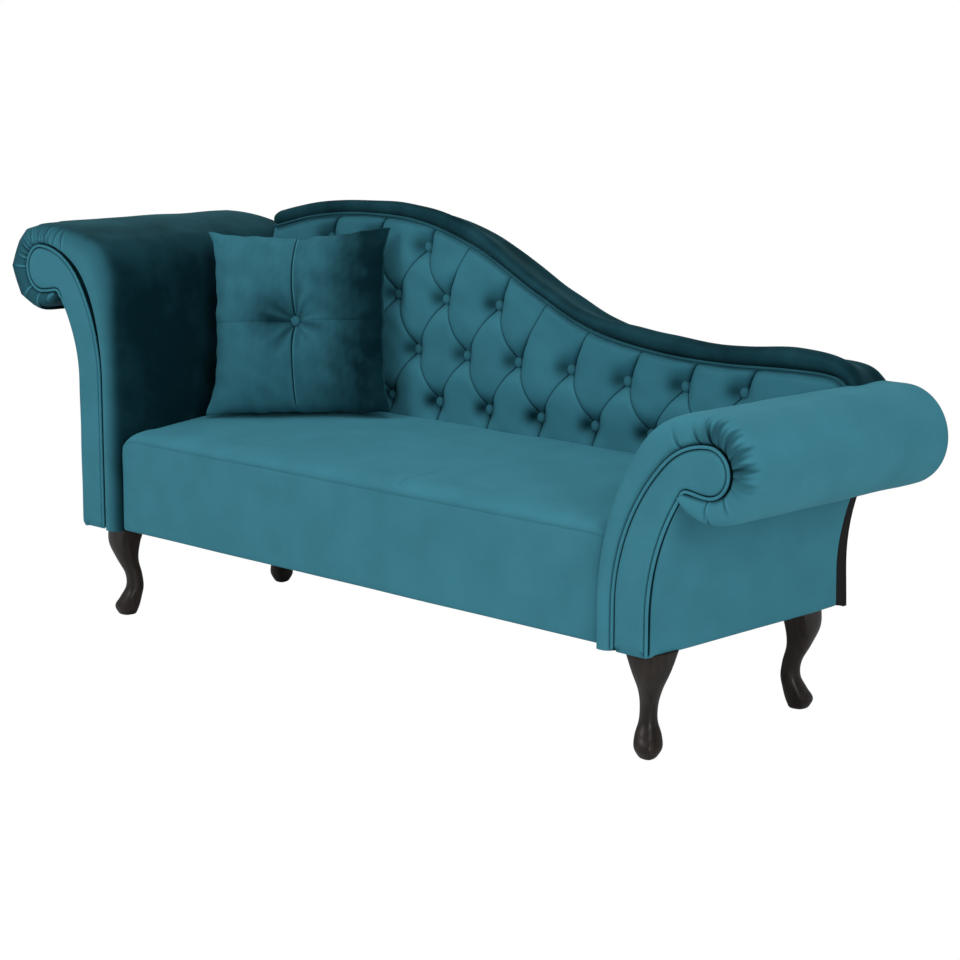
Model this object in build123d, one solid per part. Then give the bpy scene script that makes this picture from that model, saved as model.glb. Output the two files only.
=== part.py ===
from build123d import *
import os
from math import sin, cos, asin, acos, sqrt, radians, degrees

os.makedirs("parts", exist_ok=True)

# Overall layout, in millimetres.  +X runs to the foot end, +Y to the back, +Z up.
front_y = -287.0            # foremost line, the piping of the arm facings
rear_y = 287.0              # rearmost line, the lower edge of the outside-back lining
base_z = 193.0              # underside of the upholstered body
fit = 0.5                   # clearance left between neighbouring pieces
ply = 18.0                  # arm boards
timber = 25.0               # rails
cloth = 3.0                 # fabric with its wadding

# Arms: stem faces, scroll centres and the arcs of the scroll-shaped facing.
pad_in = 673.0              # inner face of the arm covers beside the seat
stem_out = 788.0
roll_r = 91.0               # radius of the padded rolls
arms = {
    "head": dict(side=-1, stem_in=721.5, scroll_run=0.6, scroll_z=731.0, scroll_r=46.5,
                 low_r=354.5, top_r=158.5, turn=36.0, outer_z=501.0, outer_r=280.0,
                 roll_out=22.0, roll_z=734.0, pad_low_r=95.0, pad_top_r=700.0, pad_run=19.0),
    "foot": dict(side=1, stem_in=714.5, scroll_run=0.3, scroll_z=527.5, scroll_r=41.0,
                 low_r=373.5, top_r=128.5, turn=45.0, outer_z=257.0, outer_r=400.0,
                 roll_out=6.0, roll_z=529.0, pad_low_r=502.0, pad_top_r=147.0, pad_turn=35.0),
}
for arm in arms.values():
    # The scroll's centre follows the two arcs after a short level run; the padded roll lies further out.
    arc_shift = (arm["low_r"] - arm["top_r"]) * cos(radians(arm["turn"]))
    arm["scroll_x"] = arm["stem_in"] + arm["low_r"] - arc_shift + arm["scroll_run"]
    arm["roll_x"] = arm["scroll_x"] + arm["roll_out"]
centre_x = (arms["head"]["roll_x"] - arms["foot"]["roll_x"]) / 2   # puts the origin under the middle
arm_rear = 264.0            # rear end of the arm covers
facing_back = -273.0        # rear face of the front facing
facing_front = -286.0
ring_front = -282.0         # front of the gathered padding round the facing
rim = ((0, -22), (3, -12), (10, -5), (24, 0))   # rounding of the padding's front rim: depth, inset
piping_r = 4.0
foam_bottom = 322.0         # the inside padding starts above the arm's inner side rail

# Seat, set back a little behind the arm fronts.
seat_front = -265.0
apron_back = seat_front + 13
apron_bottom = base_z + 3.5
seat_half = pad_in - fit
rail_top = 318.0
seat_seam_z = 387.0         # seam between apron and seat top
seat_front_top = 404.0
seat_rear_top = 430.0
seat_crown = 8.0

# Back: front face leans by this slope above the seat.
back_front = 162.0
back_slope = 0.07
back_slope_from = 437.0
border_lip = 6.0            # how far the top border stands in front of the tufted face
border_rear = 275.0
border_gap = 1.0            # between the border and the tufted pad under it
border_top_rear = 222.0     # behind this the border is only a low strip over the lining
border_strip = 10.0
back_board_y = 220.5
back_board_t = 9.0
back_frame_y = 230.0
back_frame_t = 24.0
back_left = -672.0
back_right = 820.0
lining_right = 840.0        # upper right-hand end of the outside-back lining
border_line = [(-702, 804), (-554, 837), (-398, 850), (-229, 843), (-60, 798), (105, 724), (256, 652),
               (423, 629), (581, 624), (730, 629), (830, 628), (881, 617), (905, 606)]
border_crest = [(-702, 841), (-569, 870), (-410, 878), (-258, 873), (-112, 844), (15, 794), (125, 740),
                (232, 692), (361, 670), (557, 658), (741, 666), (862, 646), (905, 628)]

# Buttons of the back: rows of height, first column and number of columns.
button_pitch = 143.8
button_d = 19.0
button_depth = 20.0         # how far each button is pulled in
button_rows = [(474, -599, 9), (577, -527, 9), (687, -599, 5), (792, -527, 3)]

# Legs.
leg_top = base_z - 1
leg_x = dict(head=707.0, foot=752.0)
leg_y = dict(front=-236.0, rear=201.0)
leg_sections = [(-2, 14, 17, 0, 0.62), (18, 25, 26, 1, 0.62), (38, 24, 23, -7, 0.64),
                (61, 17, 19, -15, 0.67), (87, 16, 18, -13, 0.67), (120, 21, 23, 0, 0.65),
                (155, 34, 33, 7, 0.60), (202, 50, 41, 0, 0.54)]
bolt_d = 8.0

# Bolts between the arms and the seat frame.
arm_bolt_x = 698.0
arm_bolt_z = 270.0
arm_bolt_ys = (-150.0, 150.0)

# Loose cushion.
cushion_w = 400.0
cushion_h = 388.0
cushion_t = 128.0
cushion_edge = 10.0
cushion_draw = 11.0         # how far the sides are drawn in
cushion_turn = 30.0
cushion_lean = 10.0
cushion_tip = 1.5           # its right-hand side is tipped up a little
cushion_place = (-448.0, 36.0)


def outline(start, *steps):
    """Wire in the XZ plane.  A step is a point, or a pair (through, end) for an arc."""
    edges = []
    here = start
    for step in steps:
        if isinstance(step[0], tuple):
            through, end = step
            edges.append(Edge.make_three_point_arc((here[0], 0, here[1]), (through[0], 0, through[1]),
                                                   (end[0], 0, end[1])))
        else:
            end = step
            edges.append(Edge.make_line((here[0], 0, here[1]), (end[0], 0, end[1])))
        here = end
    return edges


def plate(edges, y0, y1):
    """Solid between two Y planes from a closed outline."""
    face = Face(Wire(edges)).moved(Location((0, y0, 0)))
    return Solid.extrude(face, Vector(0, y1 - y0, 0))


def box(x0, x1, y0, y1, z0, z1):
    return Pos((x0 + x1) / 2, (y0 + y1) / 2, (z0 + z1) / 2) * Box(abs(x1 - x0), y1 - y0, z1 - z0)


def rod(x, y, z0, z1, d):
    return Pos(x, y, (z0 + z1) / 2) * Cylinder(d / 2, z1 - z0)


def save(name, *shapes):
    solids = []
    for shape in shapes:
        solids += [Pos(centre_x, 0, 0) * solid for solid in shape.solids()]
    export_step(solids[0] if len(solids) == 1 else Compound(children=solids), "parts/" + name + ".step")


class ArmEdge:
    """Inner edge of an arm: upright, low arc, top arc, short level run, then round the roll."""

    def __init__(self, x_in, low_r, top_r, turn, top_z, roll_x, roll_r):
        self.x_in, self.low_r, self.top_r, self.turn = x_in, low_r, top_r, turn
        self.top_z, self.roll_x, self.roll_r = top_z, roll_x, roll_r
        self.roll_z = top_z - roll_r
        self.low_z = top_z - top_r - (low_r - top_r) * sin(radians(turn))
        self.top_x = x_in + low_r - (low_r - top_r) * cos(radians(turn))

    def grown(self, d):
        return ArmEdge(self.x_in - d, self.low_r + d, self.top_r + d, self.turn, self.top_z + d,
                       self.roll_x, self.roll_r + d)

    def x_at(self, z):
        """How far out the upright part of the edge lies at height z."""
        rise = max(0, z - self.low_z)
        return self.x_in + self.low_r - sqrt(self.low_r ** 2 - rise ** 2)

    def low(self, angle):
        a = radians(angle)
        return (self.x_in + self.low_r * (1 - cos(a)), self.low_z + self.low_r * sin(a))

    def top(self, angle):
        a = radians(angle)
        return (self.top_x - self.top_r * cos(a), self.top_z - self.top_r * (1 - sin(a)))

    def roll(self, angle):
        a = radians(angle)
        return (self.roll_x + self.roll_r * cos(a), self.roll_z + self.roll_r * sin(a))

    def upward(self, z_from):
        """Start point and steps from the bottom, over the top, to the lowest point of the roll."""
        steps = []
        low_start = 0.0
        if z_from < self.low_z:
            start = (self.x_in, z_from)
            steps.append(self.low(0))
        else:
            low_start = degrees(asin((z_from - self.low_z) / self.low_r))
            start = self.low(low_start)
        steps.append((self.low((low_start + self.turn) / 2), self.low(self.turn)))
        steps.append((self.top((self.turn + 90) / 2), self.top(90)))
        if abs(self.roll_x - self.top_x) > 0.01:
            steps.append(self.roll(90))
        steps.append((self.roll(45), self.roll(0)))
        steps.append((self.roll(-45), self.roll(-90)))
        return start, steps

    def downward(self, z_to):
        """Same run the other way, from the lowest point of the roll."""
        start, steps = self.upward(z_to)
        points = [start]
        for step in steps:
            points.append(step[1] if isinstance(step[0], tuple) else step)
        back = []
        for i in range(len(steps) - 1, -1, -1):
            back.append((steps[i][0], points[i]) if isinstance(steps[i][0], tuple) else points[i])
        return back


def stem_outer(arm, d, z):
    """Point of the arm's outer edge at height z, moved outward by d."""
    if z <= arm["outer_z"]:
        return (stem_out + d, z)
    return (stem_out + arm["outer_r"] - sqrt((arm["outer_r"] - d) ** 2 - (z - arm["outer_z"]) ** 2), z)


def facing_steps(arm, edge, d, z_from):
    """Closed outline of the whole scroll shape, its outer edge moved outward by d."""
    start, steps = edge.upward(z_from)
    notch_z = edge.roll_z - edge.roll_r
    steps.append(stem_outer(arm, d, notch_z))
    steps.append((stem_outer(arm, d, (notch_z + arm["outer_z"]) / 2), stem_outer(arm, d, arm["outer_z"])))
    steps.append((stem_out + d, z_from))
    steps.append(start)
    return start, steps


def band(inner, outer, z_from, tail):
    """Closed outline of the padding between two edges; the tail wraps under the roll."""
    start, steps = inner.upward(z_from)
    end = outer.roll(-90 - tail)
    steps.append((end[0], inner.roll_z - inner.roll_r))
    steps.append(end)
    steps.append((outer.roll(-90 - tail / 2), outer.roll(-90)))
    steps += outer.downward(z_from)
    steps.append(start)
    return outline(start, *steps)


def rounded_band(inner, outer, z_from, tail, y0, y1):
    """Padding between two edges whose front rim is rounded over."""
    wires = []
    for y, d in [(y0 + depth, inset) for depth, inset in rim] + [(y1, 0)]:
        wires.append(Wire(band(inner, outer.grown(d), z_from, tail)).moved(Location((0, y, 0))))
    return Solid.make_loft(wires, ruled=True)


edges_of = {}
for name, arm in arms.items():
    arm_front = ring_front + cloth + fit
    facing_edge = ArmEdge(arm["stem_in"], arm["low_r"], arm["top_r"], arm["turn"],
                          arm["scroll_z"] + arm["scroll_r"], arm["scroll_x"], arm["scroll_r"])
    pad_turn = arm.get("pad_turn")
    if pad_turn is None:
        reach = arm["roll_x"] - arm["pad_run"] - pad_in - arm["pad_low_r"]
        pad_turn = degrees(acos(reach / (arm["pad_top_r"] - arm["pad_low_r"])))
    pad_edge = ArmEdge(pad_in, arm["pad_low_r"], arm["pad_top_r"], pad_turn,
                       arm["roll_z"] + roll_r, arm["roll_x"], roll_r)
    edges_of[name] = (facing_edge, pad_edge)
    pieces = {}

    # Profile boards, base board, rails and the inner side rail.
    board_edge = facing_edge.grown(-fit)
    start, steps = facing_steps(arm, board_edge, -2.5, base_z + ply + 2)
    board = outline(start, *steps)
    board_y0 = facing_back + fit
    pieces["front_board"] = plate(board, board_y0, board_y0 + ply)
    pieces["rear_board"] = plate(board, arm_rear - cloth - ply, arm_rear - cloth)
    inner_rail_x0 = pad_edge.grown(-cloth).x_at(rail_top) + fit
    rim_back = ring_front + cloth + rim[-1][0] + fit
    board_z = base_z + 1.5
    base_board = box(inner_rail_x0, stem_out - 2.5, board_y0, arm_rear - cloth, board_z, board_z + ply)
    base_board -= box(inner_rail_x0 - 1, inner_rail_x0 + 14, board_y0 - 1, rim_back, base_z, base_z + 40)
    for y in leg_y.values():
        base_board -= rod(leg_x[name], y, base_z, base_z + 40, bolt_d + 3)
    pieces["base_board"] = base_board
    y0 = board_y0 + ply + fit
    y1 = arm_rear - cloth - ply - fit
    mid_z = (base_z + arm["scroll_z"]) / 2 + 10
    mid_x = (facing_edge.x_at(mid_z + 50) + stem_outer(arm, 0, mid_z)[0]) / 2
    core = 22.0
    rails = [box(mid_x - timber / 2, mid_x + timber / 2, y0, y1, mid_z, mid_z + 50),
             box(stem_out - 2.5 - timber, stem_out - 2.5, y0, y1, 260, 320),
             box(arm["scroll_x"] - core, arm["scroll_x"] + core, y0, y1,
                 arm["scroll_z"] - core, arm["scroll_z"] + core)]
    pieces["rails"] = Compound(children=[r.solids()[0] for r in rails])
    side_rail = box(inner_rail_x0, arm["stem_in"] - fit, rim_back, arm_rear - cloth,
                    base_z + ply + 2, rail_top)
    for bolt_y in arm_bolt_ys:
        side_rail -= Pos(arm_bolt_x, bolt_y, arm_bolt_z) * Rot(0, 90, 0) * Cylinder(4.4, 120)
    for y in leg_y.values():
        side_rail -= rod(leg_x[name], y, base_z, base_z + 40, 25)
    pieces["side_rail"] = side_rail

    # Curved liner, foam and the fabric of the inside arm with its roll.
    liner_in = facing_edge.grown(0.3)
    liner_out = facing_edge.grown(3.0)
    pieces["liner"] = plate(band(liner_in, liner_out, foam_bottom, 3), board_y0, arm_rear - cloth)
    foam_in = facing_edge.grown(3.4)
    foam_out = pad_edge.grown(-cloth - fit)
    pieces["foam"] = rounded_band(foam_in, foam_out, foam_bottom, 28, arm_front, arm_rear - cloth - fit)
    cover_in = facing_edge.grown(piping_r + 2.5)
    outer = rounded_band(cover_in, pad_edge, base_z + 0.8, 38, ring_front, arm_rear)
    hollow = rounded_band(facing_edge.grown(1), pad_edge.grown(-cloth), base_z - 5, 34,
                          ring_front + cloth, arm_rear - cloth)
    cover = outer - hollow
    for bolt_y in arm_bolt_ys:
        cover -= Pos(arm_bolt_x, bolt_y, arm_bolt_z) * Rot(0, 90, 0) * Cylinder(4.4, 120)
    pieces["cover"] = cover

    # Front facing, its piping and the flat outside panel.
    start, steps = facing_steps(arm, facing_edge.grown(-3), -3, base_z + 1)
    pieces["facing"] = plate(outline(start, *steps), facing_front, facing_back)
    bead_y = front_y + piping_r
    bead_edge = facing_edge.grown(1.5)
    start, steps = bead_edge.upward(base_z + 1)
    notch_z = bead_edge.roll_z - bead_edge.roll_r
    notch_x = stem_outer(arm, 1.5, notch_z)[0]
    steps.append((notch_x + 12, notch_z))
    inner_path = Wire(outline(start, *steps)).moved(Location((0, bead_y, 0)))
    z_top = notch_z - 9
    outer_start = (stem_out + 1.5, base_z + 1)
    bend = (stem_outer(arm, 1.5, (z_top + arm["outer_z"]) / 2), stem_outer(arm, 1.5, z_top))
    outer_path = Wire(outline(outer_start, stem_outer(arm, 1.5, arm["outer_z"]), bend))
    outer_path = outer_path.moved(Location((0, bead_y, 0)))
    beads = []
    for path in (inner_path, outer_path):
        at = path.position_at(0)
        beads.append(sweep(Plane(at, x_dir=(1, 0, 0), z_dir=(0, 0, 1)) * Circle(piping_r), path=path))
    pieces["piping"] = Compound(children=[b.solids()[0] for b in beads])
    panel_top = notch_z - 22
    panel_start = stem_outer(arm, -2, base_z + 1)
    inner_mid = stem_outer(arm, -2, (panel_top + arm["outer_z"]) / 2)
    outer_mid = stem_outer(arm, 0, (panel_top + arm["outer_z"]) / 2)
    panel = outline(panel_start, stem_outer(arm, -2, arm["outer_z"]),
                    (inner_mid, stem_outer(arm, -2, panel_top)), stem_outer(arm, 0, panel_top),
                    (outer_mid, stem_outer(arm, 0, arm["outer_z"])), (stem_out, base_z + 1), panel_start)
    pieces["outside"] = plate(panel, facing_back + fit, arm_rear)

    for piece, solid in pieces.items():
        if arm["side"] < 0:
            solid = mirror(solid, about=Plane.YZ)
        save(name + "_arm_" + piece, solid)

# Seat frame.
frame_x = seat_half - fit
frame_y0 = apron_back + fit
frame_y1 = back_board_y - 3
save("seat_front_rail", box(-frame_x, frame_x, frame_y0, frame_y0 + timber, apron_bottom + 2, rail_top))
save("seat_rear_rail", box(-frame_x, frame_x, frame_y1 - timber, frame_y1, base_z + 2, rail_top))
inner_y0 = frame_y0 + timber + fit
inner_y1 = frame_y1 - timber - fit
side_rails = []
for side in (-1, 1):
    rail = box(side * frame_x, side * (frame_x - timber), inner_y0, inner_y1, base_z + 2, rail_top)
    for bolt_y in arm_bolt_ys:
        rail -= Pos(side * frame_x, bolt_y, arm_bolt_z) * Rot(0, 90, 0) * Cylinder(4.4, 120)
    side_rails.append(rail)
save("seat_head_rail", side_rails[0])
save("seat_foot_rail", side_rails[1])
bearers = []
bearer_h = 60.0
for x in (-seat_half / 3, seat_half / 3):
    bearers.append(box(x - timber / 2, x + timber / 2, inner_y0, inner_y1, base_z + 2, base_z + 2 + bearer_h))
save("seat_bearers", *bearers)
block = 70.0
corner_blocks = []
for sx in (-1, 1):
    for sy in (-1, 1):
        cx = sx * (frame_x - timber - fit)
        cy = inner_y0 if sy < 0 else inner_y1
        corner = Polyline((cx, cy), (cx - sx * block, cy), (cx, cy - sy * block), close=True)
        corner_blocks.append(Pos(0, 0, base_z + 2) * extrude(make_face(corner), amount=50, dir=(0, 0, 1)))
save("seat_corner_blocks", *corner_blocks)

# Zigzag springs in clips on the front and rear rails.
wire_r = 1.9
loop = 48.0
spring_half = 24.0
spring_z = rail_top + 0.6 + wire_r
spring_y0 = frame_y0 + 9
spring_y1 = frame_y1 - 9
spring_pitch = 150.0
springs = []
clips = []
loops = int((spring_y1 - spring_y0) / (loop / 2))
step_y = (spring_y1 - spring_y0) / loops
for i in range(-4, 5):
    x = i * spring_pitch
    edges = []
    side = 1
    for k in range(loops):
        y = spring_y0 + k * step_y
        x_from = x - side * spring_half
        x_to = x + side * spring_half
        edges.append(Edge.make_line((x_from, y, spring_z), (x_to, y, spring_z)))
        if k < loops - 1:
            bulge = x_to + side * step_y / 2
            edges.append(Edge.make_three_point_arc((x_to, y, spring_z), (bulge, y + step_y / 2, spring_z),
                                                   (x_to, y + step_y, spring_z)))
        side = -side
    path = Wire(edges)
    wire_end = Plane(path.position_at(0), x_dir=(0, 1, 0), z_dir=(1, 0, 0))
    springs.append(sweep(wire_end * Circle(wire_r), path=path))
    for y in (spring_y0, spring_y0 + (loops - 1) * step_y):
        clip = box(x - 9, x + 9, y - 8, y + 8, rail_top + 0.3, spring_z + wire_r + 1.6)
        clips.append(clip - Pos(x, y, spring_z) * Rot(0, 90, 0) * Cylinder(wire_r + 0.4, 40))
save("seat_springs", *springs)
save("seat_spring_clips", *clips)
felt_z = spring_z + wire_r + 2.0
felt_x = frame_x - cloth - 1
save("seat_felt", box(-felt_x, felt_x, frame_y0 + 2, back_front - 6, felt_z, felt_z + 5))


foot_pad = edges_of["foot"][1]
seat_overrun = 45.0         # the seat is lofted past the foot arm's face and then trimmed to it


def foot_side(inset):
    """Block beyond the seat's foot side, bounded by the curved inner face of the foot arm."""
    side = foot_pad.grown(fit + inset)
    z_top = seat_rear_top + seat_overrun
    angle = degrees(asin((z_top - side.low_z) / side.low_r))
    x_far = pad_in + 3 * seat_overrun
    edges = outline((side.x_in, base_z), side.low(0), (side.low(angle / 2), side.low(angle)),
                    (x_far, z_top), (x_far, base_z), (side.x_in, base_z))
    return plate(edges, 2 * front_y, 2 * rear_y)


def seat_body(inset, bottom):
    """Crowned seat with a rounded front edge, lofted across its length and trimmed to the foot arm."""
    sections = []
    half = seat_half - inset
    y0 = seat_front + inset
    y1 = back_front - fit - inset
    stations = [(share, share * half) for share in (-1, -0.95, -0.75, -0.4, 0, 0.4, 0.75, 0.95, 1)]
    stations.append((1, pad_in + seat_overrun))
    for share, x in stations:
        rise = seat_crown * (1 - 1.6 * share ** 4)
        draw = 2.5 * share ** 8
        front_top = seat_front_top + rise * 0.5 - inset
        rear_top = seat_rear_top + rise - inset
        mid_top = (front_top + rear_top) / 2 + 7
        yf = y0 + draw
        corner = 20.0
        edges = [Edge.make_line((x, yf, bottom), (x, yf, front_top - corner)),
                 Edge.make_three_point_arc((x, yf, front_top - corner), (x, yf + 7, front_top - 6),
                                           (x, yf + corner + 4, front_top + 1)),
                 Edge.make_three_point_arc((x, yf + corner + 4, front_top + 1), (x, (y0 + y1) / 2, mid_top),
                                           (x, y1, rear_top)),
                 Edge.make_line((x, y1, rear_top), (x, y1, bottom)),
                 Edge.make_line((x, y1, bottom), (x, yf, bottom))]
        sections.append(Wire(edges))
    return Solid.make_loft(sections) - foot_side(inset)


foam_z = felt_z + 5.4
seat_outer = seat_body(0, foam_z - 2)
pocket_x = seat_half + seat_overrun
pocket_y0 = 2 * seat_front
apron_pocket = box(-pocket_x, pocket_x, pocket_y0, apron_back + fit + cloth, 0, seat_seam_z - 1)
save("seat_cover", seat_outer - seat_body(cloth, foam_z - 9) - apron_pocket)
foam_pocket = box(-pocket_x, pocket_x, pocket_y0, apron_back + 2 * fit + 2 * cloth, 0, seat_seam_z + 3)
save("seat_foam", seat_body(cloth + fit, foam_z) - foam_pocket)
apron = box(-seat_half, pad_in + seat_overrun, seat_front, apron_back, apron_bottom, seat_seam_z - 1 - fit)
save("seat_apron", apron - foot_side(0))

# Black lining under the whole body, with holes for the leg bolts.
lining = box(-stem_out + 3, stem_out - 3, apron_back, arm_rear - cloth, base_z - 0.7, base_z + 0.5)
bolts = []
tee_nuts = []
corners = [(row, end) for row in leg_y for end in leg_x]
for row, end in corners:
    sx = arms[end]["side"]
    sy = -1 if row == "front" else 1
    x = sx * leg_x[end]
    y = leg_y[row]
    out = Vector(sx, sy, 0) * (1 / sqrt(2))
    across = Vector(-out.Y, out.X, 0)
    lining -= rod(x, y, base_z - 5, base_z + 5, bolt_d + 3)
    sections = []
    for z, half_v, half_u, shift, bulge in leg_sections:
        mid = Vector(x, y, z) + out * shift
        tips = [mid + out * half_u, mid + across * half_v, mid - out * half_u, mid - across * half_v]
        edges = []
        for a in range(4):
            p = tips[a]
            q = tips[(a + 1) % 4]
            edges.append(Edge.make_three_point_arc(p, mid + (p + q - mid * 2) * bulge, q))
        sections.append(Wire(edges))
    leg = Solid.make_loft(sections) & box(x - 90, x + 90, y - 90, y + 90, 0, leg_top)
    leg -= rod(x, y, leg_top - 42, leg_top + 1, bolt_d + 0.8)
    save("leg_" + row + "_" + end, leg)
    bolts.append(rod(x, y, leg_top - 40, base_z + 34, bolt_d))
    flange = rod(x, y, base_z + 1.5 + ply + 0.4, base_z + 1.5 + ply + 2.4, 22)
    barrel = rod(x, y, base_z + 8, base_z + 1.5 + ply + 1, bolt_d + 2.4)
    tee_nuts.append(flange + barrel - rod(x, y, base_z, base_z + 60, bolt_d + 0.7))
save("bottom_lining", lining)
save("leg_bolts", *bolts)
save("leg_tee_nuts", *tee_nuts)

# Bolts that hold the arms to the seat frame, each with a washer under its head.
arm_bolts = []
hexagon = extrude(RegularPolygon(7.4, 6), amount=2.6, both=True)
head_x = frame_x - timber - 5.4
for sx in (-1, 1):
    for bolt_y in arm_bolt_ys:
        shank = Pos(sx * (pad_in + 4), bolt_y, arm_bolt_z) * Rot(0, 90, 0) * Cylinder(4, 64)
        head = Pos(sx * head_x, bolt_y, arm_bolt_z) * Rot(0, 90, 0) * hexagon
        washer = Pos(sx * (head_x + 3.6), bolt_y, arm_bolt_z) * Rot(0, 90, 0) * Cylinder(10, 2)
        arm_bolts.append(shank + head + washer)
save("arm_bolts", *arm_bolts)


# Back.  The cutting blocks reach past everything.
beyond_all = 1.2 * (arms["head"]["roll_x"] + roll_r)
above_all = 1.2 * max(z for x, z in border_crest)


def front_at(z):
    return back_front + back_slope * max(0, z - back_slope_from)


def border_edge(points, drop, x0, x1):
    """Smooth curve of the border line lowered by drop, cut between two x positions."""
    inside = [p for p in points if x0 + 20 < p[0] < x1 - 20]
    ends = []
    for x in (x0, x1):
        low = max(p for p in points if p[0] <= x)
        high = min(p for p in points if p[0] >= x)
        share = 0 if high == low else (x - low[0]) / (high[0] - low[0])
        ends.append((x, low[1] + share * (high[1] - low[1])))
    run = [ends[0]] + inside + [ends[1]]
    return Edge.make_spline([(x, 0, z - drop) for x, z in run]), run[0][1] - drop, run[-1][1] - drop


def back_region(drop, inset, z_bottom, x_left, x_right, y0, y1):
    """Solid slab of the back between the arms, under the border line."""
    curve, z_left, z_right = border_edge(border_line, drop, x_left, x_right)
    side = foot_pad.grown(inset)
    end_angle = 90 - degrees(asin((side.top_x - x_right) / side.top_r))
    steps = []
    if z_bottom < side.low_z:
        start = (side.x_in, z_bottom)
        steps.append(side.low(0))
        low_start = 0.0
    else:
        low_start = degrees(asin((z_bottom - side.low_z) / side.low_r))
        start = side.low(low_start)
    steps.append((side.low((low_start + side.turn) / 2), side.low(side.turn)))
    steps.append((side.top((side.turn + end_angle) / 2), side.top(end_angle)))
    steps.append((x_right, z_right))
    edges = outline(start, *steps)
    edges.append(curve)
    edges += outline((x_left, z_left), (x_left, z_bottom), start)
    return plate(edges, y0, y1)


def leaning_cut(forward):
    """Block that stands in front of the leaning face, moved forward by the given amount."""
    y = back_front - forward
    profile = Polyline((front_y, 0), (y, 0), (y, back_slope_from), (front_at(above_all) - forward, above_all),
                       (front_y, above_all), close=True)
    face = Plane.YZ * make_face(profile)
    return Pos(-beyond_all, 0, 0) * extrude(face, amount=2 * beyond_all, dir=(1, 0, 0))


pad_bottom = 340.0
buttons = []
for row, (z, x_first, count) in enumerate(button_rows):
    for i in range(count):
        buttons.append((row, x_first + i * button_pitch, z))
pad = back_region(border_gap, 0.8, pad_bottom, back_left, back_right, back_front, back_board_y - fit)
pad -= leaning_cut(0)


def pleat(a, b, depth):
    """Triangular channel along the front face between two points of the pattern."""
    pa = Vector(a[0], front_at(a[1]) - 2, a[1])
    pb = Vector(b[0], front_at(b[1]) - 2, b[1])
    along = (pb - pa).normalized()
    section = Plane(pa, x_dir=along.cross(Vector(0, 1, 0)), z_dir=along)
    half = depth * 0.8
    wedge = Polyline((-half, 0), (half, 0), (0, depth + 2), close=True)
    tool = extrude(section * make_face(wedge), amount=(pb - pa).length, dir=along)
    probe = tool.bounding_box()
    if probe.max.Y < front_at((a[1] + b[1]) / 2) + depth * 0.4:
        wedge = Polyline((-half, 0), (half, 0), (0, -depth - 2), close=True)
        tool = extrude(section * make_face(wedge), amount=(pb - pa).length, dir=along)
    return tool


channels = []
for row, x, z in buttons:
    for row2, x2, z2 in buttons:
        if row2 == row + 1 and abs(abs(x2 - x) - button_pitch / 2) < 5:
            channels.append(pleat((x, z), (x2, z2), 9))
    if row == 0:
        channels.append(pleat((x, pad_bottom - 5), (x, z), 9))
    linked = [b for b in buttons if b[0] == row + 1 and abs(abs(b[1] - x) - button_pitch / 2) < 5]
    if not linked:
        channels.append(pleat((x, z), (x, z + 220), 7))
dimples = []
ties = []
covered = []
holes = []
for row, x, z in buttons:
    y = front_at(z)
    dimple = Cone(20, button_d / 2 + 1.2, button_depth + 2)
    dimples.append(Pos(x, y + button_depth / 2 - 1, z) * Rot(-90, 0, 0) * dimple)
    holes.append(Pos(x, y + 40, z) * Rot(-90, 0, 0) * Cylinder(2.6, 100))
    disc = Pos(x, y + button_depth - 3.4, z) * Rot(90, 0, 0) * Cylinder(button_d / 2, 5)
    dome = Cone(button_d / 2, button_d / 2 - 4, 3, align=(Align.CENTER, Align.CENTER, Align.MIN))
    covered.append(disc + Pos(x, y + button_depth - 5.9, z) * Rot(90, 0, 0) * dome)
    tie_y0 = y + button_depth - 0.6
    tie_y1 = back_board_y + back_board_t + 0.5
    ties.append(Pos(x, (tie_y0 + tie_y1) / 2, z) * Rot(90, 0, 0) * Cylinder(1.2, tie_y1 - tie_y0))
pad = pad.cut(*[s for t in channels for s in t.solids()])
pad = Compound(children=list(pad.solids())).cut(*[s for t in dimples + holes for s in t.solids()])
save("back_tufted_pad", pad)
save("back_buttons", *covered)
save("back_button_ties", *ties)
board_rear = back_board_y + back_board_t
board = back_region(3, 3, base_z + 4, back_left + 3, back_right - 10, back_board_y, board_rear)
board = board.cut(*[s for t in holes for s in t.solids()])
save("back_panel", board)
frame_y2 = back_frame_y + back_frame_t
rail_right = 765.0
upper, z_l, z_r = border_edge(border_line, 3, back_left + 8, rail_right)
lower, zl2, zr2 = border_edge(border_line, 48, back_left + 8, rail_right)
top_rail = plate([upper] + outline((rail_right, z_r), (rail_right, zr2)) + [lower] +
                 outline((back_left + 8, zl2), (back_left + 8, z_l)), back_frame_y + 0.4, frame_y2)
save("back_top_rail", top_rail)
under_rail = back_region(48 + fit, 3, base_z + 4, back_left + 8, rail_right, back_frame_y + 0.4, frame_y2)
low_rail_top = base_z + 74
posts = []
post_half = 25.0
for x in (back_left + 36, back_left / 3.1, -back_left / 3.1, -back_left - 32):
    posts.append(under_rail & box(x - post_half, x + post_half, back_frame_y - fit, frame_y2 + fit,
                                  low_rail_top + fit, above_all))
save("back_posts", *posts)
low_rail_x = seat_half - 6
save("back_bottom_rail", box(-low_rail_x, low_rail_x, back_frame_y + 0.4, frame_y2, base_z + 4, low_rail_top))

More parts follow.
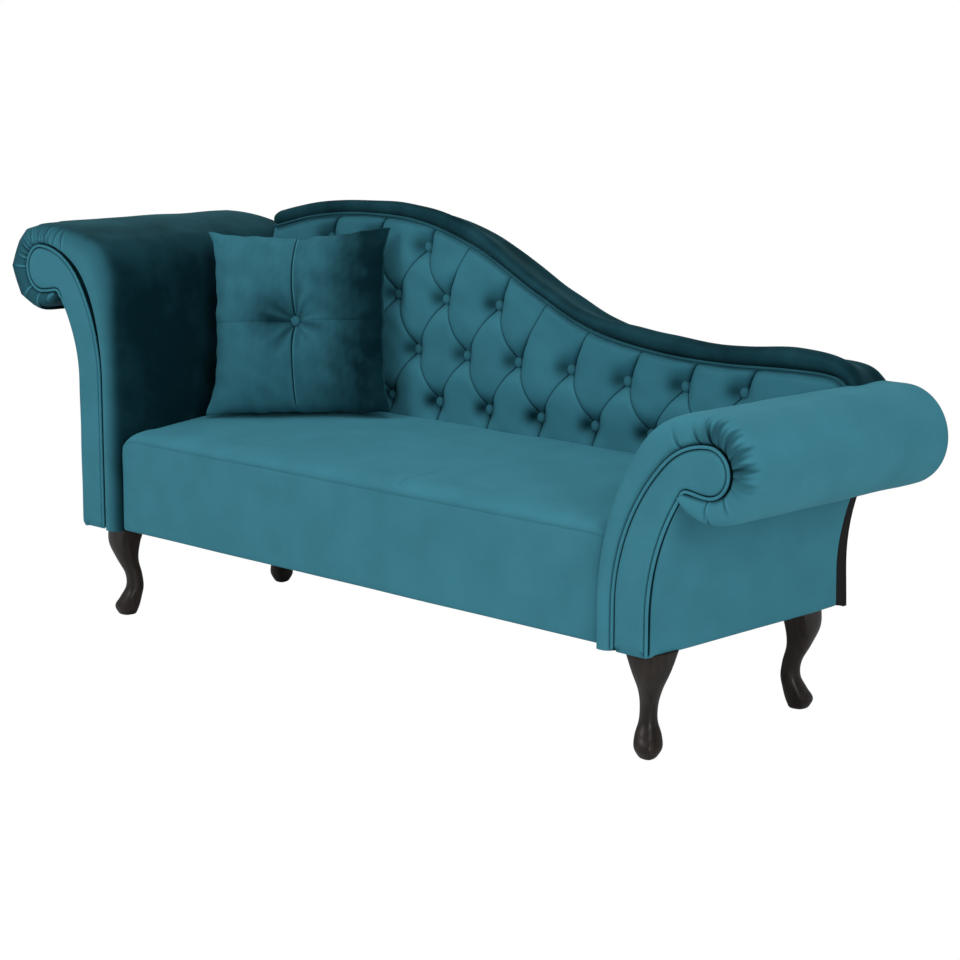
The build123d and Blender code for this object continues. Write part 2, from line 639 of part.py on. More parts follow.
# Padded border along the top, and the piping under its front edge.
border_x0 = border_line[0][0]
border_x1 = border_line[-1][0]
line_edge, z_l, z_r = border_edge(border_line, 0, border_x0, border_x1)
slabs = []
for points, drop, y0, y1 in ((border_crest, 0, back_front - 20, border_top_rear),
                             (border_line, -border_strip, border_top_rear - 1, border_rear)):
    upper, c_l, c_r = border_edge(points, drop, border_x0, border_x1)
    right_end = outline((border_x1, z_r), (border_x1, c_r))
    left_end = outline((border_x0, c_l), (border_x0, z_l))
    slabs.append(plate([line_edge] + right_end + [upper] + left_end, y0, y1))
start, steps = foot_pad.grown(fit).upward(base_z)
foot_arm_block = plate(outline(start, *steps, start), 2 * front_y, 2 * rear_y)
border = slabs[0] + slabs[1] - leaning_cut(border_lip) - foot_arm_block
save("back_border", border)
bead_points = []
for x, z in border_line[:-1]:
    x = max(x, border_x0 + 12)
    bead_points.append((x, front_at(z) - border_lip - piping_r - 0.4, z + 2))
bead_path = Wire([Edge.make_spline(bead_points)])
bead_end = Plane(bead_path.position_at(0), z_dir=bead_path.tangent_at(0))
bead = sweep(bead_end * Circle(piping_r), path=bead_path)
save("back_piping", bead - foot_arm_block)

# Low rear rail that holds the outside-back lining away from the arms, and that lining.
rear_rail_x = stem_out - 30
rear_rail = box(-rear_rail_x, rear_rail_x, arm_rear + fit, rear_y - 6, base_z - 4, base_z + 50)
save("back_rear_rail", rear_rail)
lining_low = base_z - 9
lining_t = 1.5
lining_y = arm_rear + 0.4
lining_bend = 640.0         # the lining leans in up to this height and stands upright above it
slab = Polyline((rear_y - lining_t, lining_low), (rear_y, lining_low), (lining_y + lining_t, lining_bend),
                (lining_y + lining_t, above_all), (lining_y, above_all), (lining_y, lining_bend), close=True)
slab = Pos(-beyond_all, 0, 0) * extrude(Plane.YZ * make_face(slab), amount=2 * beyond_all, dir=(1, 0, 0))
slab_y = (arm_rear - 1, rear_y + 1)
regions = [back_region(5, -30, base_z, back_left - 28, lining_right, *slab_y),
           box(-stem_out + 1, stem_out - 1, *slab_y, lining_low, seat_rear_top)]
for name, arm in arms.items():
    start, steps = facing_steps(arm, edges_of[name][0].grown(20), -1, base_z)
    scroll = plate(outline(start, *steps), *slab_y)
    regions.append(mirror(scroll, about=Plane.YZ) if arm["side"] < 0 else scroll)
sheets = [(slab & region).solids()[0] for region in regions]
save("back_lining", sheets[0].fuse(*sheets[1:]).clean())

# Loose cushion: lens-shaped sections lofted across its width, with drawn-in sides.
def cushion_body(inset):
    sections = []
    for share in (-1, -0.8, -0.4, 0, 0.4, 0.8, 1):
        x = share * (cushion_w / 2 - inset)
        full = (1 - share ** 2) ** 0.6
        half_t = cushion_edge / 2 + (cushion_t / 2 - cushion_edge / 2) * full - inset
        half_h = cushion_h / 2 - cushion_draw * full - inset
        edge_t = cushion_edge / 2 - inset * 0.5
        crown = half_t + 0.5
        front_arc = Edge.make_three_point_arc((x, -edge_t, -half_h), (x, -crown, 0), (x, -edge_t, half_h))
        rear_arc = Edge.make_three_point_arc((x, edge_t, half_h), (x, crown, 0), (x, edge_t, -half_h))
        sections.append(Wire([front_arc, Edge.make_line((x, -edge_t, half_h), (x, edge_t, half_h)), rear_arc,
                              Edge.make_line((x, edge_t, -half_h), (x, -edge_t, -half_h))]))
    return Solid.make_loft(sections)


tuft = 16.0
tuft_tools = []
for side in (-1, 1):
    y = side * (cushion_t / 2 - tuft / 2 + 1)
    tuft_tools.append(Pos(0, y, 0) * Rot(side * -90, 0, 0) * Cone(13, 46, tuft + 2))
shell = cushion_body(0)
filling = cushion_body(2.0)
for tool in tuft_tools:
    shell -= tool
    filling -= Pos(0, -2.5 if tool.center().Y > 0 else 2.5, 0) * tool
shell -= cushion_body(1.6) - Compound(children=[s for t in tuft_tools for s in (t + Pos(
    0, -2 if t.center().Y > 0 else 2, 0) * t).solids()])
cushion_buttons = []
for side in (-1, 1):
    y = side * (cushion_t / 2 - tuft + 3.5)
    cushion_buttons.append(Pos(0, y, 0) * Rot(90, 0, 0) * Cylinder(11, 5))
place = Pos(cushion_place[0], cushion_place[1], 640) * Rot(0, 0, cushion_turn)
place = place * Rot(-cushion_lean, 0, 0) * Rot(0, -cushion_tip, 0)
lifted = place * shell
for _ in range(8):
    gap = lifted.distance_to(seat_outer)
    if gap < 0.6:
        break
    place = Pos(0, 0, -(gap - 0.45)) * place
    lifted = place * shell
save("cushion_cover", place * shell)
save("cushion_filling", place * filling)
save("cushion_buttons", *[place * b for b in cushion_buttons])
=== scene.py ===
import math

import bmesh
import bpy
import numpy as np
from mathutils import Matrix, Vector, geometry


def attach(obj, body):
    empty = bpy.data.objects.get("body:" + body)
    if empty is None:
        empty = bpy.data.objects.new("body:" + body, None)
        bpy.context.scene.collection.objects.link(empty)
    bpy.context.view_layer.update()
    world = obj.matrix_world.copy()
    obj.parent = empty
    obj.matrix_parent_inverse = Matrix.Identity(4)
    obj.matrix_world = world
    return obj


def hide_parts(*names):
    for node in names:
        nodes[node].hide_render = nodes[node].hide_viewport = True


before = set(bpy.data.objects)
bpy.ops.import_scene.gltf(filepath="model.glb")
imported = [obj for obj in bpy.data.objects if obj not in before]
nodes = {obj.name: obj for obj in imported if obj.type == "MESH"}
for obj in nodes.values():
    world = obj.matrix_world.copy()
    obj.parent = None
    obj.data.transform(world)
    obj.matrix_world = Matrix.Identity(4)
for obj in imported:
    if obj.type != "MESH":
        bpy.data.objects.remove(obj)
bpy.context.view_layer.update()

# Sizes in metres, the CAD's own or a few millimetres from them where the photo asks for it. X runs from the
# middle between the arms' stems, and CENTRE_X then moves every piece to the frame's origin.
CENTRE_X = 0.0095
BASE_Z = 0.1895
STEM_OUT = 0.788
PAD_IN = 0.673
ROLL_R = 0.091
ARM_REAR = 0.264
FACE_Y = -0.2858
BEAD_Y = -0.2838
BEAD_R = 0.0029
SEAT_Y = -0.2710
RING_WIDTH = 0.048          # of an arm's gathered front, from its piping to the roll

# Gathers round each scroll: angle from outward (degrees), depth, width and sideways drift (mm), reach (m).
GATHER_SCALE = 1.8          # of all their depths
HEAD_REACH = 1.3            # of the head arm's reaches
HEAD_GATHERS = [(158, 2.6, 1.5, -10, 0.045), (141, 2.0, 1.1, 8, 0.030), (134, 3.0, 1.3, 14, 0.050),
                (126, 1.8, 1.0, 9, 0.026), (118, 2.4, 1.1, 16, 0.040), (109, 2.0, 1.0, 10, 0.028),
                (101, 3.2, 1.4, 20, 0.052), (91, 2.0, 1.1, 14, 0.032), (80, 2.6, 1.2, 16, 0.040),
                (68, 1.8, 1.0, 10, 0.026), (57, 2.8, 1.3, 14, 0.040), (45, 2.0, 1.1, 6, 0.030),
                (36, 2.4, 1.2, 5, 0.030), (25, 1.8, 1.0, 3, 0.026), (15, 2.2, 1.1, 2, 0.028),
                (-3, 1.4, 1.0, 0, 0.034), (-50, 1.6, 1.1, -2, 0.040), (-84, 1.8, 1.2, -2, 0.040)]
FOOT_GATHERS = [(157, 3.0, 1.6, -8, 0.048), (117, 3.0, 1.5, 3, 0.050), (82, 2.4, 1.6, 6, 0.052),
                (64, 1.0, 1.3, 6, 0.036), (47, 1.5, 1.5, 6, 0.046), (30, 1.0, 1.3, 3, 0.038),
                (12, 1.8, 1.4, 1, 0.060), (-2, 1.0, 1.2, 0, 0.036), (-22, 1.2, 1.3, -2, 0.036),
                (-48, 2.4, 1.5, -6, 0.050), (-92, 3.0, 1.6, -3, 0.052)]
# Corners of the head roll's front rim: angle (degrees) and how far each lies inside the roll (m).
HEAD_CORNERS = ((98, 0.0), (68, 0.006), (43, 0.013), (-3, 0.0), (-50, 0.0), (-84, 0.0))
ARMS = {
    "head": dict(side=-1, stem_in=0.7215, scroll_x=0.918, scroll_z=0.731, scroll_r=0.0465,
                 low_r=0.3545, top_r=0.1585, turn=36.0, outer_z=0.501, outer_r=0.280,
                 roll_x=0.940, roll_z=0.7352, pad_low_r=0.095, pad_top_r=0.700, peak_x=0.921,
                 gathers=HEAD_GATHERS, corners=HEAD_CORNERS, rear=ARM_REAR),
    "foot": dict(side=1, stem_in=0.7145, scroll_x=0.915, scroll_z=0.5275, scroll_r=0.041,
                 low_r=0.3735, top_r=0.1285, turn=45.0, outer_z=0.257, outer_r=0.400,
                 roll_x=0.921, roll_z=0.529, pad_low_r=0.502, pad_top_r=0.147, pad_turn=35.0,
                 gathers=FOOT_GATHERS, corners=(), rear=0.2745),
}
BACK_FRONT, BACK_SLOPE, SLOPE_FROM = 0.162, 0.07, 0.437
BACK_LOW, BACK_BOARD = 0.402, 0.2195
PAD_DEEP, PAD_RELIEF = 0.021, 0.027     # the pad's lowest places behind its front, and its whole relief
# Lower line and crest of the border along the back, as X and Z.
LINE = [(-0.702, 0.804), (-0.554, 0.837), (-0.398, 0.850), (-0.229, 0.841), (-0.060, 0.794), (0.105, 0.718),
        (0.256, 0.6586), (0.423, 0.6328), (0.581, 0.627), (0.730, 0.6315), (0.822, 0.630), (0.862, 0.614),
        (0.890, 0.588)]
CREST = [(-0.702, 0.841), (-0.569, 0.870), (-0.410, 0.882), (-0.258, 0.881), (-0.112, 0.853), (0.015, 0.788),
         (0.125, 0.733), (0.232, 0.694), (0.361, 0.680), (0.557, 0.6645), (0.741, 0.675), (0.845, 0.660),
         (0.893, 0.606)]
BORDER_REAR, BORDER_TOP_REAR, BORDER_LOW_REAR = 0.275, 0.180, 0.255
BORDER_RUN, BORDER_END = 1.68, 0.020    # its length and that of its rounded head end
BORDER_UNDERSIDE = 1.7                  # how much further its underside hangs at the rear
# How far the border falls behind its crest, in half heights, by place along it.
BORDER_FALL = ((-0.70, 1.5), (-0.25, 1.4), (-0.02, 1.40), (0.10, 1.48), (0.25, 1.48), (0.55, 1.45),
               (0.75, 1.25), (0.92, 1.2))
# Buttons of the back: height, first column and number of columns of each row.
PITCH = 0.1438
ROWS = [(0.474, -0.603, 9), (0.577, -0.530, 9), (0.687, -0.599, 5), (0.792, -0.527, 3)]
# Small shifts of single buttons, by row and column.
BUTTON_DRIFT = {(1, 6): (0.003, -0.008), (1, 7): (0.003, -0.003), (2, 4): (0.008, 0.0),
                (3, 2): (0.012, -0.001)}
BUTTON_R, BUTTON_H, BUTTON_IN = 0.0112, 0.0072, 0.0175
ROW_SHADE = (0.85, 0.64, 0.68, 0.58)    # how dark the painted shadow lies beside the buttons of each row
LEG_TOP = 0.192
LEG_X = dict(head=0.707, foot=0.752)
LEG_Y = dict(front=-0.236, rear=0.201)
# Shift of each leg, the same along X and Y, at its foot and at its top.
LEG_LEAN = {("front", "foot"): (0.0025, 0.0055), ("front", "head"): (0.0, 0.0035),
            ("rear", "foot"): (0.0, -0.003), ("rear", "head"): (0.0, 0.0)}
# Height, half width across, half width outward, shift outward (mm), fullness of the rounding.
LEG_SECTIONS = [(-2, 14, 17, 0, 0.62), (18, 25, 26, 1, 0.62), (38, 24, 23, -7, 0.64),
                (61, 17, 19, -15, 0.67), (87, 16, 18, -13, 0.67), (120, 21, 23, 0, 0.65),
                (155, 34, 33, 7, 0.60), (202, 50, 41, 0, 0.54)]


# Helpers
def smooth(t):
    """0 below 0, 1 above 1, and an even S between them."""
    t = np.clip(t, 0, 1)
    return t * t * (3 - 2 * t)


def resample(points, n):
    """n points spread evenly along a polyline."""
    seg = np.linalg.norm(np.diff(points, axis=0), axis=1)
    s = np.concatenate([[0], np.cumsum(seg)])
    want = np.linspace(0, s[-1], n)
    return np.stack([np.interp(want, s, points[:, k]) for k in range(points.shape[1])], axis=1)


def catmull(points, n):
    """Smooth curve through points, n samples spread evenly along it."""
    p = np.array(points, float)
    p = np.vstack([2 * p[0] - p[1], p, 2 * p[-1] - p[-2]])
    t = np.linspace(0, 1, 40, endpoint=False)[:, None]
    out = []
    for a, b, c, d in zip(p[:-3], p[1:-2], p[2:-1], p[3:]):
        out.append(0.5 * (2 * b + (c - a) * t + (2 * a - 5 * b + 4 * c - d) * t ** 2
                          + (3 * b - a - 3 * c + d) * t ** 3))
    return resample(np.vstack(out + [p[-2][None]]), n)


def ripple(p, scale, seed):
    """Smooth noise at points p, roughly in -1 to 1."""
    rng = np.random.default_rng(seed)
    total = np.zeros(len(p))
    for _ in range(9):
        direction = rng.normal(size=3)
        direction /= np.linalg.norm(direction)
        wave = 2 * math.pi / scale * rng.uniform(0.6, 1.5)
        total += np.sin(p @ direction * wave + rng.uniform(0, 6.28))
    return total / 4.5


def grid_faces(rows, cols, close_cols=False):
    """Four-sided faces of a grid whose vertices run row by row."""
    faces = []
    for i in range(rows - 1):
        for j in range(cols if close_cols else cols - 1):
            k = (j + 1) % cols
            faces.append((i * cols + j, i * cols + k, (i + 1) * cols + k, (i + 1) * cols + j))
    return faces


def piece(name, verts, faces, material, node_names, body="chaise", flip=False, pile_and_shade=None):
    """One mesh on its CAD body, standing for the named CAD nodes."""
    if flip:
        faces = [tuple(reversed(f)) for f in faces]
    mesh = bpy.data.meshes.new(name)
    mesh.from_pydata([(v[0] + CENTRE_X, v[1], v[2]) for v in verts], [], faces)
    mesh.update()
    mesh.polygons.foreach_set("use_smooth", [True] * len(mesh.polygons))
    # Per-vertex mix between lit and shaded colour: the pile's lie together with painted light and shade.
    if pile_and_shade is not None:
        layer = mesh.attributes.new("pile_and_shade", "FLOAT", "POINT")
        layer.data.foreach_set("value", np.array(np.broadcast_to(pile_and_shade, len(verts)), np.float32))
    mesh.materials.append(material)
    obj = bpy.data.objects.new(name, mesh)
    bpy.context.scene.collection.objects.link(obj)
    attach(obj, body)
    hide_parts(*node_names)
    return obj


def tube(path, radius, sides=12):
    """Round bead along a path, closed at both ends."""
    path = np.asarray(path, float)
    tangent = np.gradient(path, axis=0)
    tangent /= np.linalg.norm(tangent, axis=1)[:, None]
    across = np.cross(tangent, np.array([0.0, 1.0, 0.0]))
    across /= np.linalg.norm(across, axis=1)[:, None]
    other = np.cross(across, tangent)
    a = np.linspace(0, 2 * math.pi, sides, endpoint=False)
    ring = np.cos(a)[None, :, None] * across[:, None] + np.sin(a)[None, :, None] * other[:, None]
    verts = (path[:, None] + radius * ring).reshape(-1, 3)
    faces = grid_faces(len(path), sides, close_cols=True)
    faces.append(tuple(range(sides - 1, -1, -1)))
    last = (len(path) - 1) * sides
    faces.append(tuple(range(last, last + sides)))
    return verts, faces


def domed_button(radius, height, sides=28):
    """Covered button facing -Y: its profile spun round the Y axis, open at the hidden rear."""
    profile = [(1.0, 0.35), (1.0, -0.20), (0.95, -0.48), (0.80, -0.78), (0.55, -0.94), (0.25, -1.0)]
    work = bmesh.new()
    line = [work.verts.new((radius * r, height * y, 0)) for r, y in profile]
    edges = [work.edges.new(pair) for pair in zip(line[:-1], line[1:])]
    bmesh.ops.spin(work, geom=line + edges, axis=(0, 1, 0), cent=(0, 0, 0), angle=2 * math.pi, steps=sides,
                   use_merge=True)
    front = [e for e in work.edges if e.is_boundary and e.verts[0].co.y < 0]
    bmesh.ops.edgeloop_fill(work, edges=front)
    bmesh.ops.recalc_face_normals(work, faces=work.faces)
    work.verts.index_update()
    verts = np.array([tuple(v.co) for v in work.verts])
    faces = [tuple(v.index for v in f.verts) for f in work.faces]
    work.free()
    return verts, faces


def mirrored(verts, side):
    """Vertices of an arm, drawn on the foot side, on the side they belong to."""
    return np.array(verts, float) * np.array([side, 1.0, 1.0])


def inside(points, rim):
    """Which 2-D points lie inside a closed rim."""
    x, y = points[:, 0], points[:, 1]
    result = np.zeros(len(points), bool)
    for (x0, y0), (x1, y1) in zip(rim, np.roll(rim, -1, axis=0)):
        crosses = (y0 > y) != (y1 > y)
        rise = y1 - y0 if y1 != y0 else 1e-12
        result ^= crosses & (x < (x1 - x0) * (y - y0) / rise + x0)
    return result


def rim_distance(points, rim):
    """Distance from each 2-D point to a closed rim."""
    best = np.full(len(points), 9.0)
    for p, q in zip(rim, np.roll(rim, -1, axis=0)):
        e = q - p
        t = np.clip(((points - p) @ e) / max(e @ e, 1e-12), 0, 1)
        best = np.minimum(best, np.linalg.norm(points - (p + t[:, None] * e), axis=1))
    return best


def filled(rim, step, extra=(), clear=None):
    """Even triangles inside a closed 2-D rim, with extra points, and where each rim point came to lie."""
    low, high = rim.min(0), rim.max(0)
    gx, gz = np.meshgrid(np.arange(low[0], high[0], step), np.arange(low[1], high[1], step))
    gx[1::2] += step / 2
    spots = np.stack([gx.ravel(), gz.ravel()], 1)
    spots = spots[inside(spots, rim) & (rim_distance(spots, rim) > step * 0.6)]
    if clear is not None:
        spots = spots[clear(spots)]
    groups = [rim, spots] + ([extra] if len(extra) else [])
    every = [Vector(p) for p in np.vstack(groups)]
    edges = [(i, (i + 1) % len(rim)) for i in range(len(rim))]
    out = geometry.delaunay_2d_cdt(every, edges, [], 1, 1e-6)
    flat = np.array([tuple(v) for v in out[0]])
    faces = [tuple(f) for f in out[2]]
    a, b, c = (flat[faces[0][k]] for k in range(3))
    if (b - a)[0] * (c - a)[1] - (b - a)[1] * (c - a)[0] < 0:
        faces = [tuple(reversed(f)) for f in faces]
    rim_at = {source: i for i, sources in enumerate(out[3]) for source in sources if source < len(rim)}
    return flat, faces, [rim_at[i] for i in range(len(rim))]


# Materials
def new_material(name):
    mat = bpy.data.materials.new(name)
    mat.use_nodes = True
    return mat, mat.node_tree, mat.node_tree.nodes["Principled BSDF"]


def noise(tree, vector, scale, detail):
    tex = tree.nodes.new("ShaderNodeTexNoise")
    tex.inputs["Scale"].default_value = scale
    tex.inputs["Detail"].default_value = detail
    tree.links.new(vector, tex.inputs["Vector"])
    return tex.outputs["Fac"]


NAP_SPREAD, PILE_AND_LIGHT_MAX = 0.34, 1.4      # broad random unevenness of the pile, and the brightest that pile and painted light may mix to


def velvet_material(name, bright, dark):
    """Short-pile fabric: a per-vertex attribute mixes a lit and a shaded copy of the colour, painting in the
    pile's lie and light and shade.
    """
    mat, tree, bsdf = new_material(name)
    coord = tree.nodes.new("ShaderNodeTexCoord").outputs["Object"]
    pile_and_shade = tree.nodes.new("ShaderNodeAttribute")
    pile_and_shade.attribute_name = "pile_and_shade"
    fine = noise(tree, coord, 900.0, 2.0)
    broad = noise(tree, coord, 11.0, 4.0)
    lie = tree.nodes.new("ShaderNodeMath")
    lie.operation = "MULTIPLY_ADD"
    lie.inputs[1].default_value = NAP_SPREAD
    lie.inputs[2].default_value = -NAP_SPREAD / 2
    tree.links.new(broad, lie.inputs[0])
    add = tree.nodes.new("ShaderNodeMath")
    add.operation = "ADD"
    tree.links.new(pile_and_shade.outputs["Fac"], add.inputs[0])
    tree.links.new(lie.outputs[0], add.inputs[1])
    limit = tree.nodes.new("ShaderNodeClamp")
    limit.inputs["Max"].default_value = PILE_AND_LIGHT_MAX
    tree.links.new(add.outputs[0], limit.inputs["Value"])
    # Painted light and shade: the mix runs from the shaded colour to the lit one.
    mix = tree.nodes.new("ShaderNodeMix")
    mix.data_type = "RGBA"
    mix.clamp_factor = False
    mix.inputs["A"].default_value = (*dark, 1)
    mix.inputs["B"].default_value = (*bright, 1)
    tree.links.new(limit.outputs["Result"], mix.inputs["Factor"])
    grain = tree.nodes.new("ShaderNodeMix")
    grain.data_type = "RGBA"
    grain.blend_type = "MULTIPLY"
    grain.inputs["Factor"].default_value = 0.25
    tree.links.new(mix.outputs["Result"], grain.inputs["A"])
    tree.links.new(fine, grain.inputs["B"])
    tree.links.new(grain.outputs["Result"], bsdf.inputs["Base Color"])
    bsdf.inputs["Roughness"].default_value = 0.85
    bsdf.inputs["Specular IOR Level"].default_value = 0.05
    bsdf.inputs["Sheen Weight"].default_value = 0.09
    bsdf.inputs["Sheen Roughness"].default_value = 0.40
    bsdf.inputs["Sheen Tint"].default_value = (0.22, 0.72, 0.82, 1)
    bump = tree.nodes.new("ShaderNodeBump")
    bump.inputs["Strength"].default_value = 0.08
    bump.inputs["Distance"].default_value = 0.0006
    tree.links.new(fine, bump.inputs["Height"])
    tree.links.new(bump.outputs["Normal"], bsdf.inputs["Normal"])
    return mat


def two_tone(name, scale, stretch, dark, light, roughness, coat=0.0):
    """Noise between two colours, stretched along one axis for wood grain."""
    mat, tree, bsdf = new_material(name)
    coord = tree.nodes.new("ShaderNodeTexCoord").outputs["Object"]
    mapping = tree.nodes.new("ShaderNodeMapping")
    mapping.inputs["Scale"].default_value = stretch
    tree.links.new(coord, mapping.inputs["Vector"])
    ramp = tree.nodes.new("ShaderNodeValToRGB")
    ramp.color_ramp.elements[0].position = 0.35
    ramp.color_ramp.elements[0].color = (*dark, 1)
    ramp.color_ramp.elements[1].position = 0.70
    ramp.color_ramp.elements[1].color = (*light, 1)
    tree.links.new(noise(tree, mapping.outputs["Vector"], scale, 5.0), ramp.inputs["Fac"])
    tree.links.new(ramp.outputs["Color"], bsdf.inputs["Base Color"])
    bsdf.inputs["Roughness"].default_value = roughness
    bsdf.inputs["Coat Weight"].default_value = coat
    bsdf.inputs["Coat Roughness"].default_value = 0.12
    bsdf.inputs["Specular IOR Level"].default_value = 0.25
    return mat


# Lit and shaded copies of the teal; the per-vertex attribute mixes them to paint in the pile's lie and light
# and shade.
VELVET = velvet_material("velvet", (0.041, 0.184, 0.241), (0.0003, 0.0130, 0.0190))
LEG_WOOD = two_tone("leg_wood", 2.0, (60, 60, 5), (0.0035, 0.0020, 0.0012), (0.0140, 0.0080, 0.0050),
                    0.45, 0.05)
LINING = two_tone("lining", 700.0, (1, 1, 1), (0.0015, 0.0016, 0.0020), (0.005, 0.005, 0.006), 0.9)


# Arms
class ArmEdge:
    """Inner edge of an arm in its XZ plane, as the CAD draws it."""

    def __init__(self, x_in, low_r, top_r, turn, top_z, roll_x, roll_r):
        self.x_in, self.low_r, self.top_r, self.turn = x_in, low_r, top_r, math.radians(turn)
        self.top_z, self.roll_x, self.roll_r, self.roll_z = top_z, roll_x, roll_r, top_z - roll_r
        self.low_z = top_z - top_r - (low_r - top_r) * math.sin(self.turn)
        self.top_x = x_in + low_r - (low_r - top_r) * math.cos(self.turn)

    def path(self, z_from, step, fine=None):
        """Points and outward normals from the bottom to under the roll, finer above the low arc."""
        fine = fine or step
        rows = [(self.x_in, z, math.pi) for z in np.arange(z_from, self.low_z, step * 2)]
        for a in np.arange(0, self.turn, step / self.low_r):
            rows.append((self.x_in + self.low_r * (1 - math.cos(a)), self.low_z + self.low_r * math.sin(a),
                         math.pi - a))
        for a in np.arange(self.turn, math.pi / 2, fine / self.top_r):
            rows.append((self.top_x - self.top_r * math.cos(a), self.top_z - self.top_r * (1 - math.sin(a)),
                         math.pi - a))
        for x in np.arange(self.top_x, self.roll_x, fine):
            rows.append((x, self.top_z, math.pi / 2))
        for a in np.arange(math.pi / 2, -math.pi / 2, -fine / self.roll_r):
            rows.append((*self.roll(a), a))
        rows = np.array(rows)
        return rows[:, :2], np.stack([np.cos(rows[:, 2]), np.sin(rows[:, 2])], 1)

    def roll(self, angle):
        return self.roll_x + self.roll_r * math.cos(angle), self.roll_z + self.roll_r * math.sin(angle)

    def side_x(self, z):
        rise = np.clip(np.asarray(z, float) - self.low_z, 0, self.low_r * math.sin(self.turn))
        return self.x_in + self.low_r - np.sqrt(self.low_r ** 2 - rise ** 2)


def arm_edges(arm):
    """Inner edges of an arm's front facing and of the padding round it."""
    facing = ArmEdge(arm["stem_in"], arm["low_r"], arm["top_r"], arm["turn"],
                     arm["scroll_z"] + arm["scroll_r"], arm["scroll_x"], arm["scroll_r"])
    turn = arm.get("pad_turn")
    if turn is None:
        reach = arm["peak_x"] - PAD_IN - arm["pad_low_r"]
        turn = math.degrees(math.acos(reach / (arm["pad_top_r"] - arm["pad_low_r"])))
    pad = ArmEdge(PAD_IN, arm["pad_low_r"], arm["pad_top_r"], turn, arm["roll_z"] + ROLL_R, arm["roll_x"],
                  ROLL_R)
    return facing, pad


def outer_x(arm, d, z):
    """Outer edge of the arm's stem at height z, moved outward by d."""
    rise = np.maximum(np.asarray(z, float) - arm["outer_z"], 0)
    return STEM_OUT + arm["outer_r"] - np.sqrt((arm["outer_r"] - d) ** 2 - rise ** 2)


def reach_to(points, normals, curve):
    """Distance from each point along its normal to a polyline."""
    a, e = curve[:-1], np.diff(curve, axis=0)
    out = np.zeros(len(points))
    for i, (p, n) in enumerate(zip(points, normals)):
        den = n[0] * e[:, 1] - n[1] * e[:, 0]
        den = np.where(abs(den) < 1e-12, 1e-12, den)
        w = a - p
        t = (w[:, 0] * e[:, 1] - w[:, 1] * e[:, 0]) / den
        u = (w[:, 0] * n[1] - w[:, 1] * n[0]) / den
        good = (t > 0.004) & (u >= -1e-6) & (u <= 1 + 1e-6)
        out[i] = t[good].min() if good.any() else 0.045
    return out


